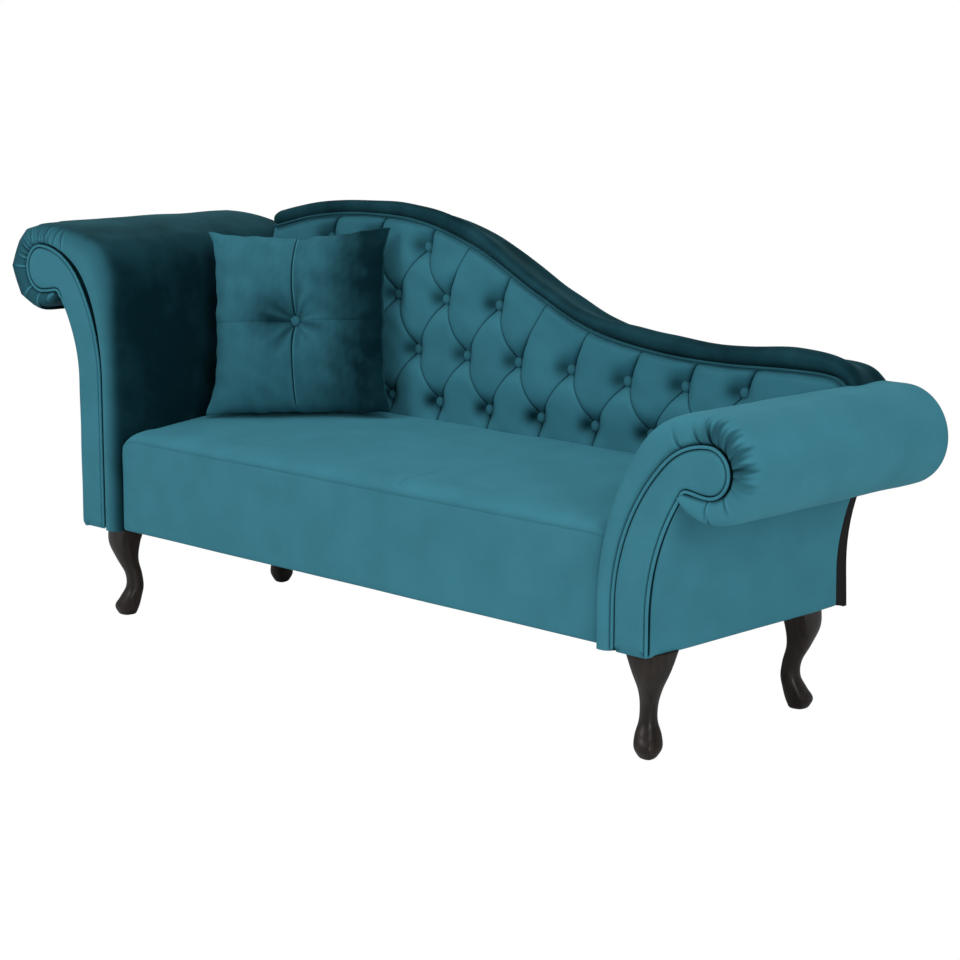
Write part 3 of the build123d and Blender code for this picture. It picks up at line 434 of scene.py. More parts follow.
def arm_cover(name, arm, facing, pad):
    """Inside arm, roll and gathered front ring as one cloth surface."""
    pts, nrm = facing.path(BASE_Z + 0.001, 0.0030, 0.0008)
    curve, _ = pad.path(BASE_Z - 0.02, 0.003)
    outer = pts + nrm * reach_to(pts, nrm, curve)[:, None]
    notch_z = facing.roll_z - facing.roll_r
    notch_x = float(outer_x(arm, 0.0, notch_z)) + 0.006
    count = 40
    under = np.stack([np.linspace(facing.roll_x, notch_x, count), np.full(count, notch_z)], 1)
    low = np.array([pad.roll(a) for a in np.radians(np.linspace(-91, -143, count))])
    pts, outer = np.vstack([pts, under]), np.vstack([outer, low])
    ray = outer - pts
    run = np.concatenate([[0], np.cumsum(np.linalg.norm(np.diff(pts, axis=0), axis=1))])
    turn = np.degrees(np.arctan2(pts[:, 1] - facing.roll_z, pts[:, 0] - facing.roll_x))
    scroll = pts[:, 1] > facing.roll_z - facing.roll_r - 0.001

    def run_at(angle):
        return run[int(np.argmin(np.where(scroll, abs(turn - angle), 999)))]

    # Section from the rear end, along the arm and over the front rim to the piping.
    end_y = arm["rear"]
    section = [(0.05, end_y), (0.45, end_y), (0.80, end_y - 0.0012), (0.93, end_y - 0.0036),
               (0.98, end_y - 0.0066), (0.997, end_y - 0.0105), (1.0, end_y - 0.016)]
    section += [(1.0, y) for y in np.linspace(end_y - 0.040, -0.130, 18)]
    front = catmull([(1.0, -0.140), (1.0, -0.200), (1.0, -0.240), (0.992, -0.260), (0.955, -0.2755),
                     (0.87, -0.2845), (0.72, -0.2885), (0.54, -0.2892), (0.36, -0.2880), (0.23, -0.2850),
                     (0.14, -0.2800), (0.09, -0.2762), (0.03, -0.2745), (-0.05, -0.2742),
                     (-0.10, -0.2742)], 80)
    section = np.vstack([section, front])
    share, y = section[:, 0], section[:, 1]
    steps = np.hypot(np.diff(share[::-1]) * RING_WIDTH, np.diff(y[::-1]))
    from_bead = np.concatenate([[0], np.cumsum(steps)])[::-1]

    sink = np.zeros((len(pts), len(section)))
    shade = np.zeros_like(sink)
    edge_light = np.zeros_like(sink)
    for angle, deep, wide, drift, reach in arm["gathers"]:
        if name == "head":
            reach = HEAD_REACH * reach
        fade = (1 - smooth((from_bead - 0.45 * reach) / (0.65 * reach))) * smooth(from_bead / 0.006)
        off = (run - run_at(angle))[:, None] + drift / 1000 * smooth(from_bead / 0.06)[None]
        spread = wide / 1000 * (0.8 + from_bead[None] / 0.08)
        steep = np.exp(-(np.minimum(off, 0) / (0.5 * spread)) ** 2)
        gentle = np.exp(-(np.maximum(off, 0) / (3.0 * spread)) ** 2)
        sink += deep / 1000 * fade[None] * steep * gentle
        # On the head arm's outer side the gathers show as painted bright ridges, with less painted shade.
        ridge = name == "head" and angle < 20
        dark = min(1, deep / 2.4) * (0.35 if ridge else 1)
        # Painted shade in each gather and a painted highlight beside it.
        shade = np.maximum(shade, fade[None] * np.exp(-(off / (1.15 * spread)) ** 2) * dark)
        bright = fade[None] * np.exp(-((off + 2.1 * spread) / (1.1 * spread)) ** 2)
        edge_light = np.maximum(edge_light, bright * (1.7 if ridge else 1))

    # Straight runs between the corners of the head roll's front rim.
    flat = np.zeros(len(pts))
    rim_turn = np.arctan2(outer[:, 1] - pad.roll_z, outer[:, 0] - pad.roll_x)
    on_roll = np.hypot(outer[:, 1] - pad.roll_z, outer[:, 0] - pad.roll_x) < pad.roll_r + 0.002
    marks = [(math.radians(a), pad.roll_r - short) for a, short in arm["corners"]]
    for (a0, r0), (a1, r1) in zip(marks[:-1], marks[1:]):
        between = on_roll & (rim_turn <= a0) & (rim_turn > a1)
        chord = r0 * r1 * math.sin(a0 - a1) / (r0 * np.sin(a0 - rim_turn) + r1 * np.sin(rim_turn - a1) + 1e-9)
        flat = np.where(between, pad.roll_r - chord, flat)
    flat = flat[:, None] * smooth((-0.195 - y) / 0.06)[None]
    length = np.linalg.norm(ray, axis=1)[:, None]
    sink = GATHER_SCALE * sink
    reach = length * share[None] - sink * np.clip(share * 1.3, 0, 1)[None] - flat * (share ** 2)[None]
    at = pts[:, None] + ray[:, None] / length[:, None] * np.maximum(reach, -0.0045)[:, :, None]
    back = y[None] + sink * (smooth(share / 0.12) * (1 - 0.6 * share))[None]
    grid = np.stack([at[:, :, 0], back, at[:, :, 1]], -1)
    body = smooth((y + 0.20) / 0.08) * smooth((end_y - 0.01 - y) / 0.05)
    soft = 0.0012 * ripple(grid.reshape(-1, 3), 0.17, 3).reshape(sink.shape) * body[None]
    grid[:, :, 0] += soft * ray[:, None, 0] / length
    grid[:, :, 2] += soft * ray[:, None, 1] / length

    # Painted shade in the gutter by the piping, in the gathers and on the tall arm's inner side, with painted
    # highlights beside the gathers; the head ring is darker on its outer and upper sides and the foot roll's
    # gathered shoulder is darker.
    gutter = 1 - smooth((from_bead - 0.0090) / 0.0050)
    angle = np.where(scroll & (pts[:, 0] > facing.top_x - 0.03), turn, 180)
    if name == "head":
        onto = smooth((from_bead - 0.024) / 0.052)
        height = np.clip((grid[:, :, 2] - 0.62) / 0.20, 0, 1)
        over = smooth((grid[:, :, 0] - 0.80) / 0.10)
        pile_and_shade = 0.92 - 0.90 * onto[None] * (1 - 0.10 * height ** 2 - 0.08 * over)
        ring = (1 - onto)[None]
        outer_side, upper_side = smooth((75 - angle) / 40)[:, None], smooth((160 - angle) / 20)[:, None]
        pile_and_shade = pile_and_shade - 0.36 * outer_side * ring - 0.16 * upper_side * ring
        # Painted highlight along the ring just inside the piping, over part of the scroll.
        rim_line = np.exp(-((from_bead - 0.0165) / 0.0024) ** 2)
        pile_and_shade = pile_and_shade + 0.40 * rim_line[None] * (angle > 100)[:, None]
        # Painted light and shade of fine folds over the upper ring.
        streaks = np.sin(run * 1010 + 1) + 0.8 * np.sin(run * 1530 + 2.2) + 0.8 * np.sin(run * 730)
        drawn = smooth((168 - angle) / 12) * smooth((angle - 40) / 20)
        pile_and_shade = pile_and_shade + 0.10 * (streaks * drawn)[:, None] * ring
    else:
        # Darker over the gathered shoulder and near the piping on the upper side.
        shoulder = smooth((112 - angle) / 30) * smooth((angle + 35) / 45)
        ragged = 0.040 + 0.008 * np.sin(run * 420) + 0.006 * np.sin(run * 1130 + 1)
        patch = shoulder[:, None] * (1 - smooth((from_bead[None] - ragged[:, None]) / 0.028))
        upper = smooth((150 - angle) / 40) * (angle > 60)
        near = upper[:, None] * (1 - smooth((from_bead - 0.022) / 0.026))[None]
        pile_and_shade = 0.95 - 0.58 * patch - 0.30 * near * (1 - patch)
    # Painted shade in the gathers and the gutter, painted highlights beside the gathers.
    darken, lighten = (0.85, 0.50) if name == "head" else (0.50, 0.20)
    pile_and_shade = np.clip(pile_and_shade - darken * shade + lighten * edge_light, 0.0, 1.35) * (1 - 0.93 * gutter[None])
    verts = mirrored(grid.reshape(-1, 3), arm["side"])
    piece(name + "_arm_cover_soft", verts, grid_faces(*sink.shape), VELVET,
          (name + "_arm_cover", name + "_arm_foam"),
          flip=arm["side"] < 0, pile_and_shade=pile_and_shade.ravel())


def arm_front(name, arm, facing):
    """Piping and padded facing of the scroll."""
    side = arm["side"]
    notch_z = facing.roll_z - facing.roll_r
    notch_x = float(outer_x(arm, 0.0, notch_z))
    lift = 0.006
    grow = 0.0015
    pts, nrm = facing.path(BASE_Z, 0.003)
    under_x = np.linspace(facing.roll_x, notch_x + 0.012, 26)
    under_z = notch_z + lift * smooth((facing.roll_x - under_x) / (facing.roll_x - notch_x))
    down_z = np.linspace(notch_z - 0.008, BASE_Z, 110)

    def loop(d, corner):
        up = pts + nrm * d
        below = np.stack([under_x, under_z - d], 1)
        down = np.stack([outer_x(arm, d, down_z), down_z], 1)
        t = np.linspace(0.06, 0.94, 12)[:, None]
        tip = np.array([notch_x + d + corner, notch_z + lift - d])
        bend = (1 - t) ** 2 * below[-1] + 2 * t * (1 - t) * tip + t ** 2 * down[0]
        return np.vstack([up, below, bend, down])

    def on_outer_edge(x, z):
        """1 along the stem's outer edge, 0 elsewhere."""
        stem = outer_x(arm, 0.0, np.minimum(z, notch_z))
        return smooth((x - stem + 0.012) / 0.004) * smooth((notch_z - 0.004 - z) / 0.012)

    # Along the head arm's outer edge the piping lies deeper and the pad beside it stays plain.
    hidden = 1.0 if name == "head" else 0.0
    line = loop(grow, -0.002)
    bead_y = BEAD_Y + 0.0040 * hidden * on_outer_edge(line[:, 0], line[:, 1])
    path = np.stack([line[:, 0], bead_y, line[:, 1]], 1)
    path = path[path[:, 2] > BASE_Z + 0.004]
    verts, faces = tube(path, BEAD_R)
    piece(name + "_arm_piping_bead", mirrored(verts, side), faces, VELVET, (name + "_arm_piping",),
          flip=side < 0, pile_and_shade=0.98)

    def rounded(d):
        """Loop with its two lower corners turned in."""
        rim = loop(d, -0.002)
        turn_in = (1 - np.clip((rim[:, 1] - BASE_Z) / 0.011, 0, 1)) ** 1.8 * 0.008
        rim[:, 0] += np.where(rim[:, 0] < (arm["stem_in"] + STEM_OUT) / 2, turn_in, -turn_in)
        return resample(np.vstack([rim, rim[:1]]), 460)[:-1]

    rim = rounded(0.0042)
    rings = np.vstack([rounded(d) for d in (0.0010, -0.0008, -0.0022, -0.0040, -0.0064)])
    rings = rings[inside(rings, rim) & (rim_distance(rings, rim) > 0.0010)]
    flat, faces, _ = filled(rim, 0.005, rings, lambda spots: rim_distance(spots, rim) > 0.0130)
    gap = rim_distance(flat, rim) - 0.0042
    level = np.stack([flat[:, 0], 0 * flat[:, 0], flat[:, 1]], 1)
    plain = hidden * on_outer_edge(flat[:, 0], flat[:, 1])
    dip = 0.0085 - 0.0062 * plain
    y = FACE_Y + dip * (1 - np.clip(gap / 0.0080, 0, 1)) ** 2 + 0.0005 * ripple(level, 0.10, 5)
    verts = np.stack([flat[:, 0], y, flat[:, 1]], 1)
    at_foot = smooth((flat[:, 1] - BASE_Z - 0.002) / 0.006)
    # Painted shade in the dip along the rim, left out at the foot and where the pad stays plain.
    pile_and_shade = 0.94 - 0.90 * (1 - smooth((gap - 0.0020) / 0.0030)) * at_foot * (1 - plain)
    piece(name + "_arm_facing_pad", mirrored(verts, side), faces, VELVET, (name + "_arm_facing",),
          flip=side < 0, pile_and_shade=pile_and_shade)


def arm_outside(name, arm, facing):
    """Outside panel from under the roll to the base."""
    z = np.linspace(facing.roll_z - facing.roll_r + 0.008, BASE_Z, 66)
    edge = 0.012
    ys = np.concatenate([[-0.2775, -0.2755, -0.272, -0.266], np.linspace(-0.256, ARM_REAR - edge, 46),
                         [ARM_REAR - 0.006, ARM_REAR - 0.002, ARM_REAR]])
    tuck = np.concatenate([[0.0070, 0.0030, 0.0010, 0.0002], np.zeros(46), [0.0006, 0.0022, 0.006]])
    zz, yy = np.meshgrid(z, ys, indexing="ij")
    xx = outer_x(arm, 0.0, zz) - tuck[None]
    full = smooth((yy + 0.27) / 0.12) * smooth((ARM_REAR - yy) / 0.08)
    uneven = ripple(np.stack([xx, yy, zz], -1).reshape(-1, 3), 0.2, 8).reshape(xx.shape)
    xx = xx + 0.002 * full + 0.0010 * uneven
    xx = xx - 0.003 * np.clip((BASE_Z + 0.004 - zz) / 0.004, 0, 1) ** 2
    verts = np.stack([xx, yy, zz], -1).reshape(-1, 3)
    # Painted shade along the front edge beside the piping.
    pile_and_shade = 0.98 - 0.75 * (1 - smooth((yy + 0.2775) / 0.008))
    piece(name + "_arm_outside_cloth", mirrored(verts, arm["side"]), grid_faces(len(z), len(ys)), VELVET,
          (name + "_arm_outside",), flip=arm["side"] > 0, pile_and_shade=pile_and_shade.ravel())


edges = {}
for arm_name, arm_data in ARMS.items():
    edges[arm_name] = arm_edges(arm_data)
    arm_cover(arm_name, arm_data, *edges[arm_name])
    arm_front(arm_name, arm_data, edges[arm_name][0])
    arm_outside(arm_name, arm_data, edges[arm_name][0])
foot_pad, head_pad = edges["foot"][1], edges["head"][1]

# Seat top: crowned, rounded at the front and fitted to both arms.
SEAM_Z = 0.3868
SEAT_FRONT, SEAT_REAR = 0.404, 0.430
CORNER = 0.012
DROP, DROP_RUN = 0.040, 0.048           # of the front seam towards the head arm
FOOT_DROP = 0.2                         # share of that drop at the foot arm
COLS = 92


def corner_back(gap):
    """How far the seat's front is turned back at a distance from its end."""
    return CORNER - np.sqrt(CORNER ** 2 - np.clip(CORNER - gap, 0, CORNER) ** 2)


def seam_drop(gap):
    """How far the seam runs down at a distance from the seat's end."""
    return DROP * (1 - np.sqrt(1 - np.clip(1 - gap / DROP_RUN, 0, 1) ** 2))


ends = CORNER * (1 - np.cos(np.linspace(0, math.pi / 2, 14, endpoint=False)))
near_end = np.linspace(CORNER, DROP_RUN, 14, endpoint=False)
gaps = np.concatenate([ends, near_end, np.linspace(DROP_RUN, PAD_IN, 98)])
gaps = np.concatenate([gaps, gaps[-2::-1]])
signs = np.where(np.arange(len(gaps)) < len(gaps) // 2, -1, 1)
rows = []
for gap, sign in zip(gaps, signs):
    share = 1 - gap / PAD_IN
    rise = 0.008 * (1 - 1.6 * share ** 4)
    drop = float(seam_drop(gap)) * (1.0 if sign < 0 else FOOT_DROP)
    tuck = 0.010 * (1 - min(gap / DROP_RUN, 1)) ** 2.4 + drop
    front_top = SEAT_FRONT + rise * 0.5 - tuck
    rear_top = SEAT_REAR + rise - tuck * 0.4
    lip = float(corner_back(gap))
    seam_z = SEAM_Z - drop
    thick = front_top - seam_z
    front = [(SEAT_Y + 0.0050 + lip, seam_z - 0.0040), (SEAT_Y + 0.0010 + lip, seam_z - 0.0004),
             (SEAT_Y - 0.0004 + lip, seam_z + 0.14 * thick),
             (SEAT_Y + 0.0010 + lip * 0.9, seam_z + 0.38 * thick),
             (SEAT_Y + 0.0062 + lip * 0.7, seam_z + 0.76 * thick),
             (SEAT_Y + 0.019 + lip * 0.4, seam_z + 1.075 * thick), (SEAT_Y + 0.041, seam_z + 1.29 * thick)]
    y = np.linspace(-0.196, 0.140, 9)
    t = (y - SEAT_Y - 0.024) / 0.4025
    top = front_top + (rear_top - front_top) * t + 0.028 * t * (1 - t)
    rear = [(0.157, rear_top + 0.0005), (0.166, rear_top - 0.004), (0.172, rear_top - 0.016)]
    rows.append(catmull(front + list(zip(y, top)) + rear, COLS))
rows = np.array(rows)
reach = np.where(signs[:, None] < 0, PAD_IN, foot_pad.side_x(rows[:, :, 1])) + 0.0008
x = signs[:, None] * reach * (1 - gaps / PAD_IN)[:, None]
seat = np.stack([x, rows[:, :, 0], rows[:, :, 1]], -1).reshape(-1, 3)
on_top = smooth((seat[:, 1] - SEAT_Y - 0.018) / 0.05)
seat[:, 2] += on_top * 0.0014 * ripple(seat, 0.24, 11)
SEAT_SEAM_X = 0.165
# Slight groove along the seat's cross seam, with painted shade in it.
seam = np.exp(-((seat[:, 0] - SEAT_SEAM_X) / 0.0022) ** 2) * smooth((seat[:, 1] - SEAT_Y - 0.004) / 0.01)
seat[:, 2] -= 0.0010 * seam
piece("seat_cover_soft", seat, grid_faces(len(gaps), COLS), VELVET, ("seat_cover", "seat_foam"), flip=True,
      pile_and_shade=0.95 - 0.22 * seam)

# Front apron under the seam, its ends turned in behind the arm fronts.
APRON_LOW = BASE_Z + 0.0035
end_gap = np.concatenate([[0.0], ends])
end_back = np.concatenate([[0.060], corner_back(ends)])
middle = np.concatenate([near_end, np.linspace(DROP_RUN, 2 * PAD_IN - DROP_RUN, 160),
                         2 * PAD_IN - near_end[::-1]])
gap = np.concatenate([end_gap, middle, 2 * PAD_IN - end_gap[::-1]])
turned = np.concatenate([end_back, np.zeros(len(middle)), end_back[::-1]])
xa = (gap - PAD_IN) * (1 + 0.0006 / PAD_IN)
zs = np.concatenate([[SEAM_Z - 0.0002, SEAM_Z - 0.0012, SEAM_Z - 0.004, SEAM_Z - 0.010],
                     np.linspace(SEAM_Z - 0.020, APRON_LOW + 0.012, 40),
                     [APRON_LOW + 0.006, APRON_LOW + 0.002, APRON_LOW, APRON_LOW]])
in_z = np.concatenate([[0.0022, 0.0008, 0.0002, 0.0], np.zeros(40), [0.0004, 0.0018, 0.006, 0.014]])
xx, zz = np.meshgrid(xa, zs, indexing="ij")
foot_gap = np.maximum(foot_pad.side_x(zz) - PAD_IN, 0)
xx = xx + foot_gap * smooth((xx - 0.55) / 0.12)
yy = SEAT_Y + in_z[None] + turned[:, None]
yy = yy + 0.0010 * ripple(np.stack([xx, yy, zz], -1).reshape(-1, 3), 0.28, 12).reshape(xx.shape)
end_drop = seam_drop(np.minimum(gap, 2 * PAD_IN - gap)) * np.where(gap < PAD_IN, 1.0, FOOT_DROP)
zz = zz - end_drop[:, None] * smooth((zz - SEAM_Z + 0.09) / 0.09)
apron = np.stack([xx, yy, zz], -1).reshape(-1, 3)
piece("seat_apron_cloth", apron, grid_faces(len(xa), len(zs)), VELVET, ("seat_apron",), pile_and_shade=0.95)


# Back
def front_at(z):
    """Front of the back at a height."""
    return BACK_FRONT + BACK_SLOPE * np.maximum(0, z - SLOPE_FROM)


def tufted_back():
    """Deep-buttoned pad: full diamonds between the buttons, thin folded pleats along their edges."""
    line = catmull(LINE, 700)
    buttons = []
    for row, (z, x0, count) in enumerate(ROWS):
        for i in range(count):
            dx, dz = BUTTON_DRIFT.get((row, i), (0.0, 0.0))
            buttons.append((row, x0 + i * PITCH + dx, z + dz))
    pleats = []
    for row, x, z in buttons:
        above = [b for b in buttons if b[0] == row + 1 and abs(abs(b[1] - x) - PITCH / 2) < 0.03]
        pleats += [((x, z), (b[1], b[2]), False) for b in above]
        if row == 0:
            pleats.append(((x, z), (x + 0.006, 0.30), True))
        if not [b for b in above if b[1] > x]:
            pleats.append(((x, z), (x + 0.7 * PITCH, z + 0.151), True))

    xs = np.linspace(-0.701, 0.885, 420)
    top = np.interp(xs, line[:, 0], line[:, 1]) - 0.001
    low = np.full(len(xs), BACK_LOW)
    for pad, sign in ((foot_pad, 1), (head_pad, -1)):
        arm_line = pad.path(0.15, 0.004)[0]
        arm_line = arm_line[arm_line[:, 0] < pad.top_x]
        beside = sign * xs > PAD_IN
        low[beside] = np.maximum(BACK_LOW, np.interp(sign * xs[beside], *arm_line.T) - 0.004)
    low = np.minimum(low, top - 0.003)
    rim = np.vstack([np.stack([xs, low], 1), np.stack([xs, top], 1)[::-1]])

    def pleat_field(spots):
        """Distance to the nearest pleat and how far the pleats near by stand up from the buttons."""
        near = np.full(len(spots), 9.0)
        weight = np.zeros(len(spots))
        total = np.zeros(len(spots))
        for p, q, loose in pleats:
            p, e = np.array(p), np.array(q) - np.array(p)
            t = np.clip(((spots - p) @ e) / (e @ e), 0, 1)
            d = np.linalg.norm(spots - (p + t[:, None] * e), axis=1)
            rise = 0.90 * smooth(t / 0.5) if loose else 0.86 * np.sin(math.pi * t) ** 0.65
            w = 1 / (d + 0.003) ** 4
            weight += w
            total += w * rise
            near = np.minimum(near, d)
        return near, total / weight

    rows = []
    for p, q, _ in pleats:
        p, e = np.array(p), np.array(q) - np.array(p)
        length = np.linalg.norm(e)
        along = np.linspace(0, 1, int(length / 0.004))[1:-1]
        across = np.array([-e[1], e[0]]) / length
        for off in (0.0, 0.0009, 0.0020, 0.0036, 0.0058):
            for sign in (-1, 1) if off else (1,):
                spots = p + along[:, None] * e + sign * off * across
                rows.append(spots[pleat_field(spots)[0] > off - 1e-5])
    folds = np.vstack(rows)
    folds = folds[inside(folds, rim) & (rim_distance(folds, rim) > 0.002)]
    flat, faces, rim_at = filled(rim, 0.006, folds, lambda spots: pleat_field(spots)[0] > 0.0075)

    near, along = pleat_field(flat)
    to_button = np.full(len(flat), 9.0)
    shadow = np.zeros(len(flat))
    for row, x, z in buttons:
        away = np.hypot(flat[:, 0] - x, flat[:, 1] - z)
        to_button = np.minimum(to_button, away)
        # Painted shadow to the left of each button, and over the whole dimple in the lowest row.
        left = ((flat[:, 0] - x + 0.016) / 0.018) ** 2 + ((flat[:, 1] - z - 0.002) / 0.017) ** 2
        shadow = np.maximum(shadow, ROW_SHADE[row] * np.exp(-left))
        if row == 0:
            shadow = np.maximum(shadow, 0.75 * np.exp(-(away / 0.020) ** 2))
    height = along + (1 - along) * (1 - np.exp(-near / 0.0060))
    height *= 1 - 0.80 * np.exp(-(to_button / 0.025) ** 2)
    height *= 0.72 + 0.28 * smooth((np.interp(flat[:, 0], xs, top) - flat[:, 1]) / 0.014)
    y = front_at(flat[:, 1]) + PAD_DEEP - PAD_RELIEF * height
    cell = np.stack([flat[:, 0], y, flat[:, 1]], 1)
    y = y + 0.0008 * ripple(cell, 0.055, 21) * smooth(near / 0.02)
    verts = np.stack([flat[:, 0], y, flat[:, 1]], 1)
    behind = verts[rim_at].copy()
    behind[:, 1] = BACK_BOARD
    n, start = len(rim_at), len(verts)
    for k in range(n):
        faces.append((rim_at[(k + 1) % n], rim_at[k], start + k, start + (k + 1) % n))
    faces.append(tuple(start + k for k in range(n - 1, -1, -1)))
    # Painted shadow by the buttons and painted shade in the creases.
    pile_and_shade = 0.86 - shadow - 0.70 * np.exp(-(near / 0.0013) ** 2)
    pile_and_shade = np.concatenate([np.clip(pile_and_shade, 0.03, 1), np.full(n, 0.6)])
    piece("back_tufted_soft", np.vstack([verts, behind]), faces, VELVET, ("back_tufted_pad",), pile_and_shade=pile_and_shade)

    verts, faces = [], []
    shape, shape_faces = domed_button(BUTTON_R, BUTTON_H)
    for _, x, z in buttons:
        start = len(verts)
        verts += [tuple(v + np.array([x, front_at(z) + BUTTON_IN, z])) for v in shape]
        faces += [tuple(start + k for k in f) for f in shape_faces]
    piece("back_covered_buttons", verts, faces, VELVET, ("back_buttons",), pile_and_shade=0.72)


def back_border():
    """Padded roll along the top of the back, running down into the foot arm, with its piping."""
    stations, around = 380, 48
    low_line, high_line = catmull(LINE, stations), catmull(CREST, stations)
    a = np.linspace(0, 2 * math.pi, around, endpoint=False)
    ring_y = np.sign(np.cos(a)) * abs(np.cos(a)) ** 0.70
    ring_z = np.sign(np.sin(a)) * abs(np.sin(a)) ** 0.70
    verts = []
    for i in range(stations):
        lo, hi = low_line[i], high_line[i]
        from_left = i * BORDER_RUN / stations
        end = math.sqrt(max(0.03, 1 - (1 - min(from_left / BORDER_END, 1)) ** 2))
        front = float(front_at((lo[1] + hi[1]) / 2)) - 0.007
        mid_y, half_y = (front + BORDER_REAR) / 2, (BORDER_REAR - front) / 2
        mid, half_z = (lo + hi) / 2, (hi - lo) / 2
        fall = np.interp(mid[0], *zip(*BORDER_FALL))
        for k in range(around):
            y = mid_y - half_y * ring_y[k] * (0.85 + 0.15 * end)
            rise = ring_z[k] * (0.35 + 0.65 * end)
            rearward = float(smooth((y - BORDER_TOP_REAR) / (BORDER_LOW_REAR - BORDER_TOP_REAR)))
            if rise < 0:
                rise = rise * (1 + BORDER_UNDERSIDE * rearward)
            rise = min(rise, 1 - fall * rearward)
            p = mid + half_z * rise
            verts.append((p[0], y, p[1]))
    verts = np.array(verts)
    verts[:, 2] += 0.0010 * ripple(verts, 0.13, 31)
    verts[:, 1] += 0.0010 * ripple(verts, 0.10, 32)
    faces = grid_faces(stations, around, close_cols=True)
    faces.append(tuple(range(around - 1, -1, -1)))
    faces.append(tuple(range((stations - 1) * around, stations * around)))
    # Dark all over, darker over the top of the roll as painted shade, with random unevenness.
    pile_and_shade = 0.14 - 0.10 * np.tile(smooth((ring_z - 0.3) / 0.6), stations) + 0.05 * ripple(verts, 0.20, 33)
    piece("back_border_roll", verts, faces, VELVET, ("back_border",), flip=True, pile_and_shade=pile_and_shade)
    bead = catmull(LINE[:-1], 420)
    bead = bead[bead[:, 0] > -0.697]
    path = np.stack([bead[:, 0], front_at(bead[:, 1]) - 0.0080, bead[:, 1] + 0.0012], 1)
    verts, faces = tube(path, 0.0030)
    piece("back_piping_bead", verts, faces, VELVET, ("back_piping",), pile_and_shade=0.30)


tufted_back()
back_border()


# Legs, bent outward along the corner diagonals.
def leg_mesh(row, end):
    """One leg: rounded sections joined smoothly from the floor to its top."""
    data = np.array(LEG_SECTIONS, float)
    z = data[:, 0] / 1000
    slope = np.gradient(data, z, axis=0)
    heights = np.linspace(0, LEG_TOP, 76)
    around = np.linspace(0, 2 * math.pi, 64, endpoint=False)
    side_x, side_y = ARMS[end]["side"], (-1 if row == "front" else 1)
    out = np.array([side_x, side_y]) / math.sqrt(2)
    across = np.array([-out[1], out[0]])
    middle = np.array([side_x * LEG_X[end], LEG_Y[row]])
    verts = []
    for h in heights:
        k = int(np.clip(np.searchsorted(z, h) - 1, 0, len(z) - 2))
        w = z[k + 1] - z[k]
        t = (h - z[k]) / w
        value = ((2 * t ** 3 - 3 * t ** 2 + 1) * data[k] + (t ** 3 - 2 * t ** 2 + t) * w * slope[k]
                 + (3 * t ** 2 - 2 * t ** 3) * data[k + 1] + (t ** 3 - t ** 2) * w * slope[k + 1])
        _, half_v, half_u, shift, bulge = value
        power = np.clip(math.log(bulge) / math.log(math.sqrt(0.5)), 0.9, 2.0)
        toe = 1 - 0.08 * max(0, 1 - h / 0.003) ** 2
        lean = np.interp(h, (0, LEG_TOP), LEG_LEAN[row, end])
        for a in around:
            u = math.copysign(abs(math.cos(a)) ** power, math.cos(a)) * toe
            v = math.copysign(abs(math.sin(a)) ** power, math.sin(a)) * toe
            p = middle + lean + (out * (shift + half_u * u) + across * half_v * v) / 1000
            verts.append((p[0], p[1], h))
    faces = grid_faces(len(heights), len(around), close_cols=True)
    n = len(around)
    faces.append(tuple(range(n - 1, -1, -1)))
    faces.append(tuple(range((len(heights) - 1) * n, len(heights) * n)))
    name = "leg_" + row + "_" + end
    piece(name + "_wood", verts, faces, LEG_WOOD, (name,))


for leg_row in LEG_Y:
    for leg_end in LEG_X:
        leg_mesh(leg_row, leg_end)


# Linings: the CAD sheets, divided finely and given a little slack.
def slack_sheet(name, node, move, wings=()):
    """A CAD sheet moved by a function, with closed four-cornered strips beside it."""
    source = nodes[node]
    mesh = source.data.copy()
    mesh.transform(source.matrix_world)
    work = bmesh.new()
    work.from_mesh(mesh)
    bmesh.ops.remove_doubles(work, verts=work.verts, dist=1e-6)
    for _ in range(7):
        long_edges = [e for e in work.edges if e.calc_length() > 0.05]
        if not long_edges:
            break
        bmesh.ops.subdivide_edges(work, edges=long_edges, cuts=1, use_grid_fill=False)
        bmesh.ops.triangulate(work, faces=[f for f in work.faces if len(f.verts) > 3])
    for v in work.verts:
        v.co = move(v.co)
    for strip in wings:
        rings = [[work.verts.new(corner) for corner in ring] for ring in strip]
        for low, high in zip(rings[:-1], rings[1:]):
            for k in range(4):
                work.faces.new((low[k], low[(k + 1) % 4], high[(k + 1) % 4], high[k]))
        work.faces.new(rings[0][::-1])
        work.faces.new(rings[-1])
    bmesh.ops.recalc_face_normals(work, faces=work.faces)
    work.to_mesh(mesh)
    work.free()
    mesh.materials.clear()
    mesh.materials.append(LINING)
    obj = bpy.data.objects.new(name, mesh)
    bpy.context.scene.collection.objects.link(obj)
    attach(obj, "chaise")
    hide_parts(node)


def rear_slack(co):
    inner = float(smooth((0.60 - abs(co.x)) / 0.15) * smooth((co.z - 0.26) / 0.1))
    wave = 1 + float(ripple(np.array([[co.x, 0.0, co.z]]), 0.5, 41)[0])
    return Vector((co.x, co.y - 0.0025 * inner * wave, co.z))


def under_slack(co):
    inner = float(smooth((0.62 - abs(co.x)) / 0.2) * smooth((0.20 - abs(co.y)) / 0.12))
    return Vector((co.x, co.y, co.z - 0.004 * inner))


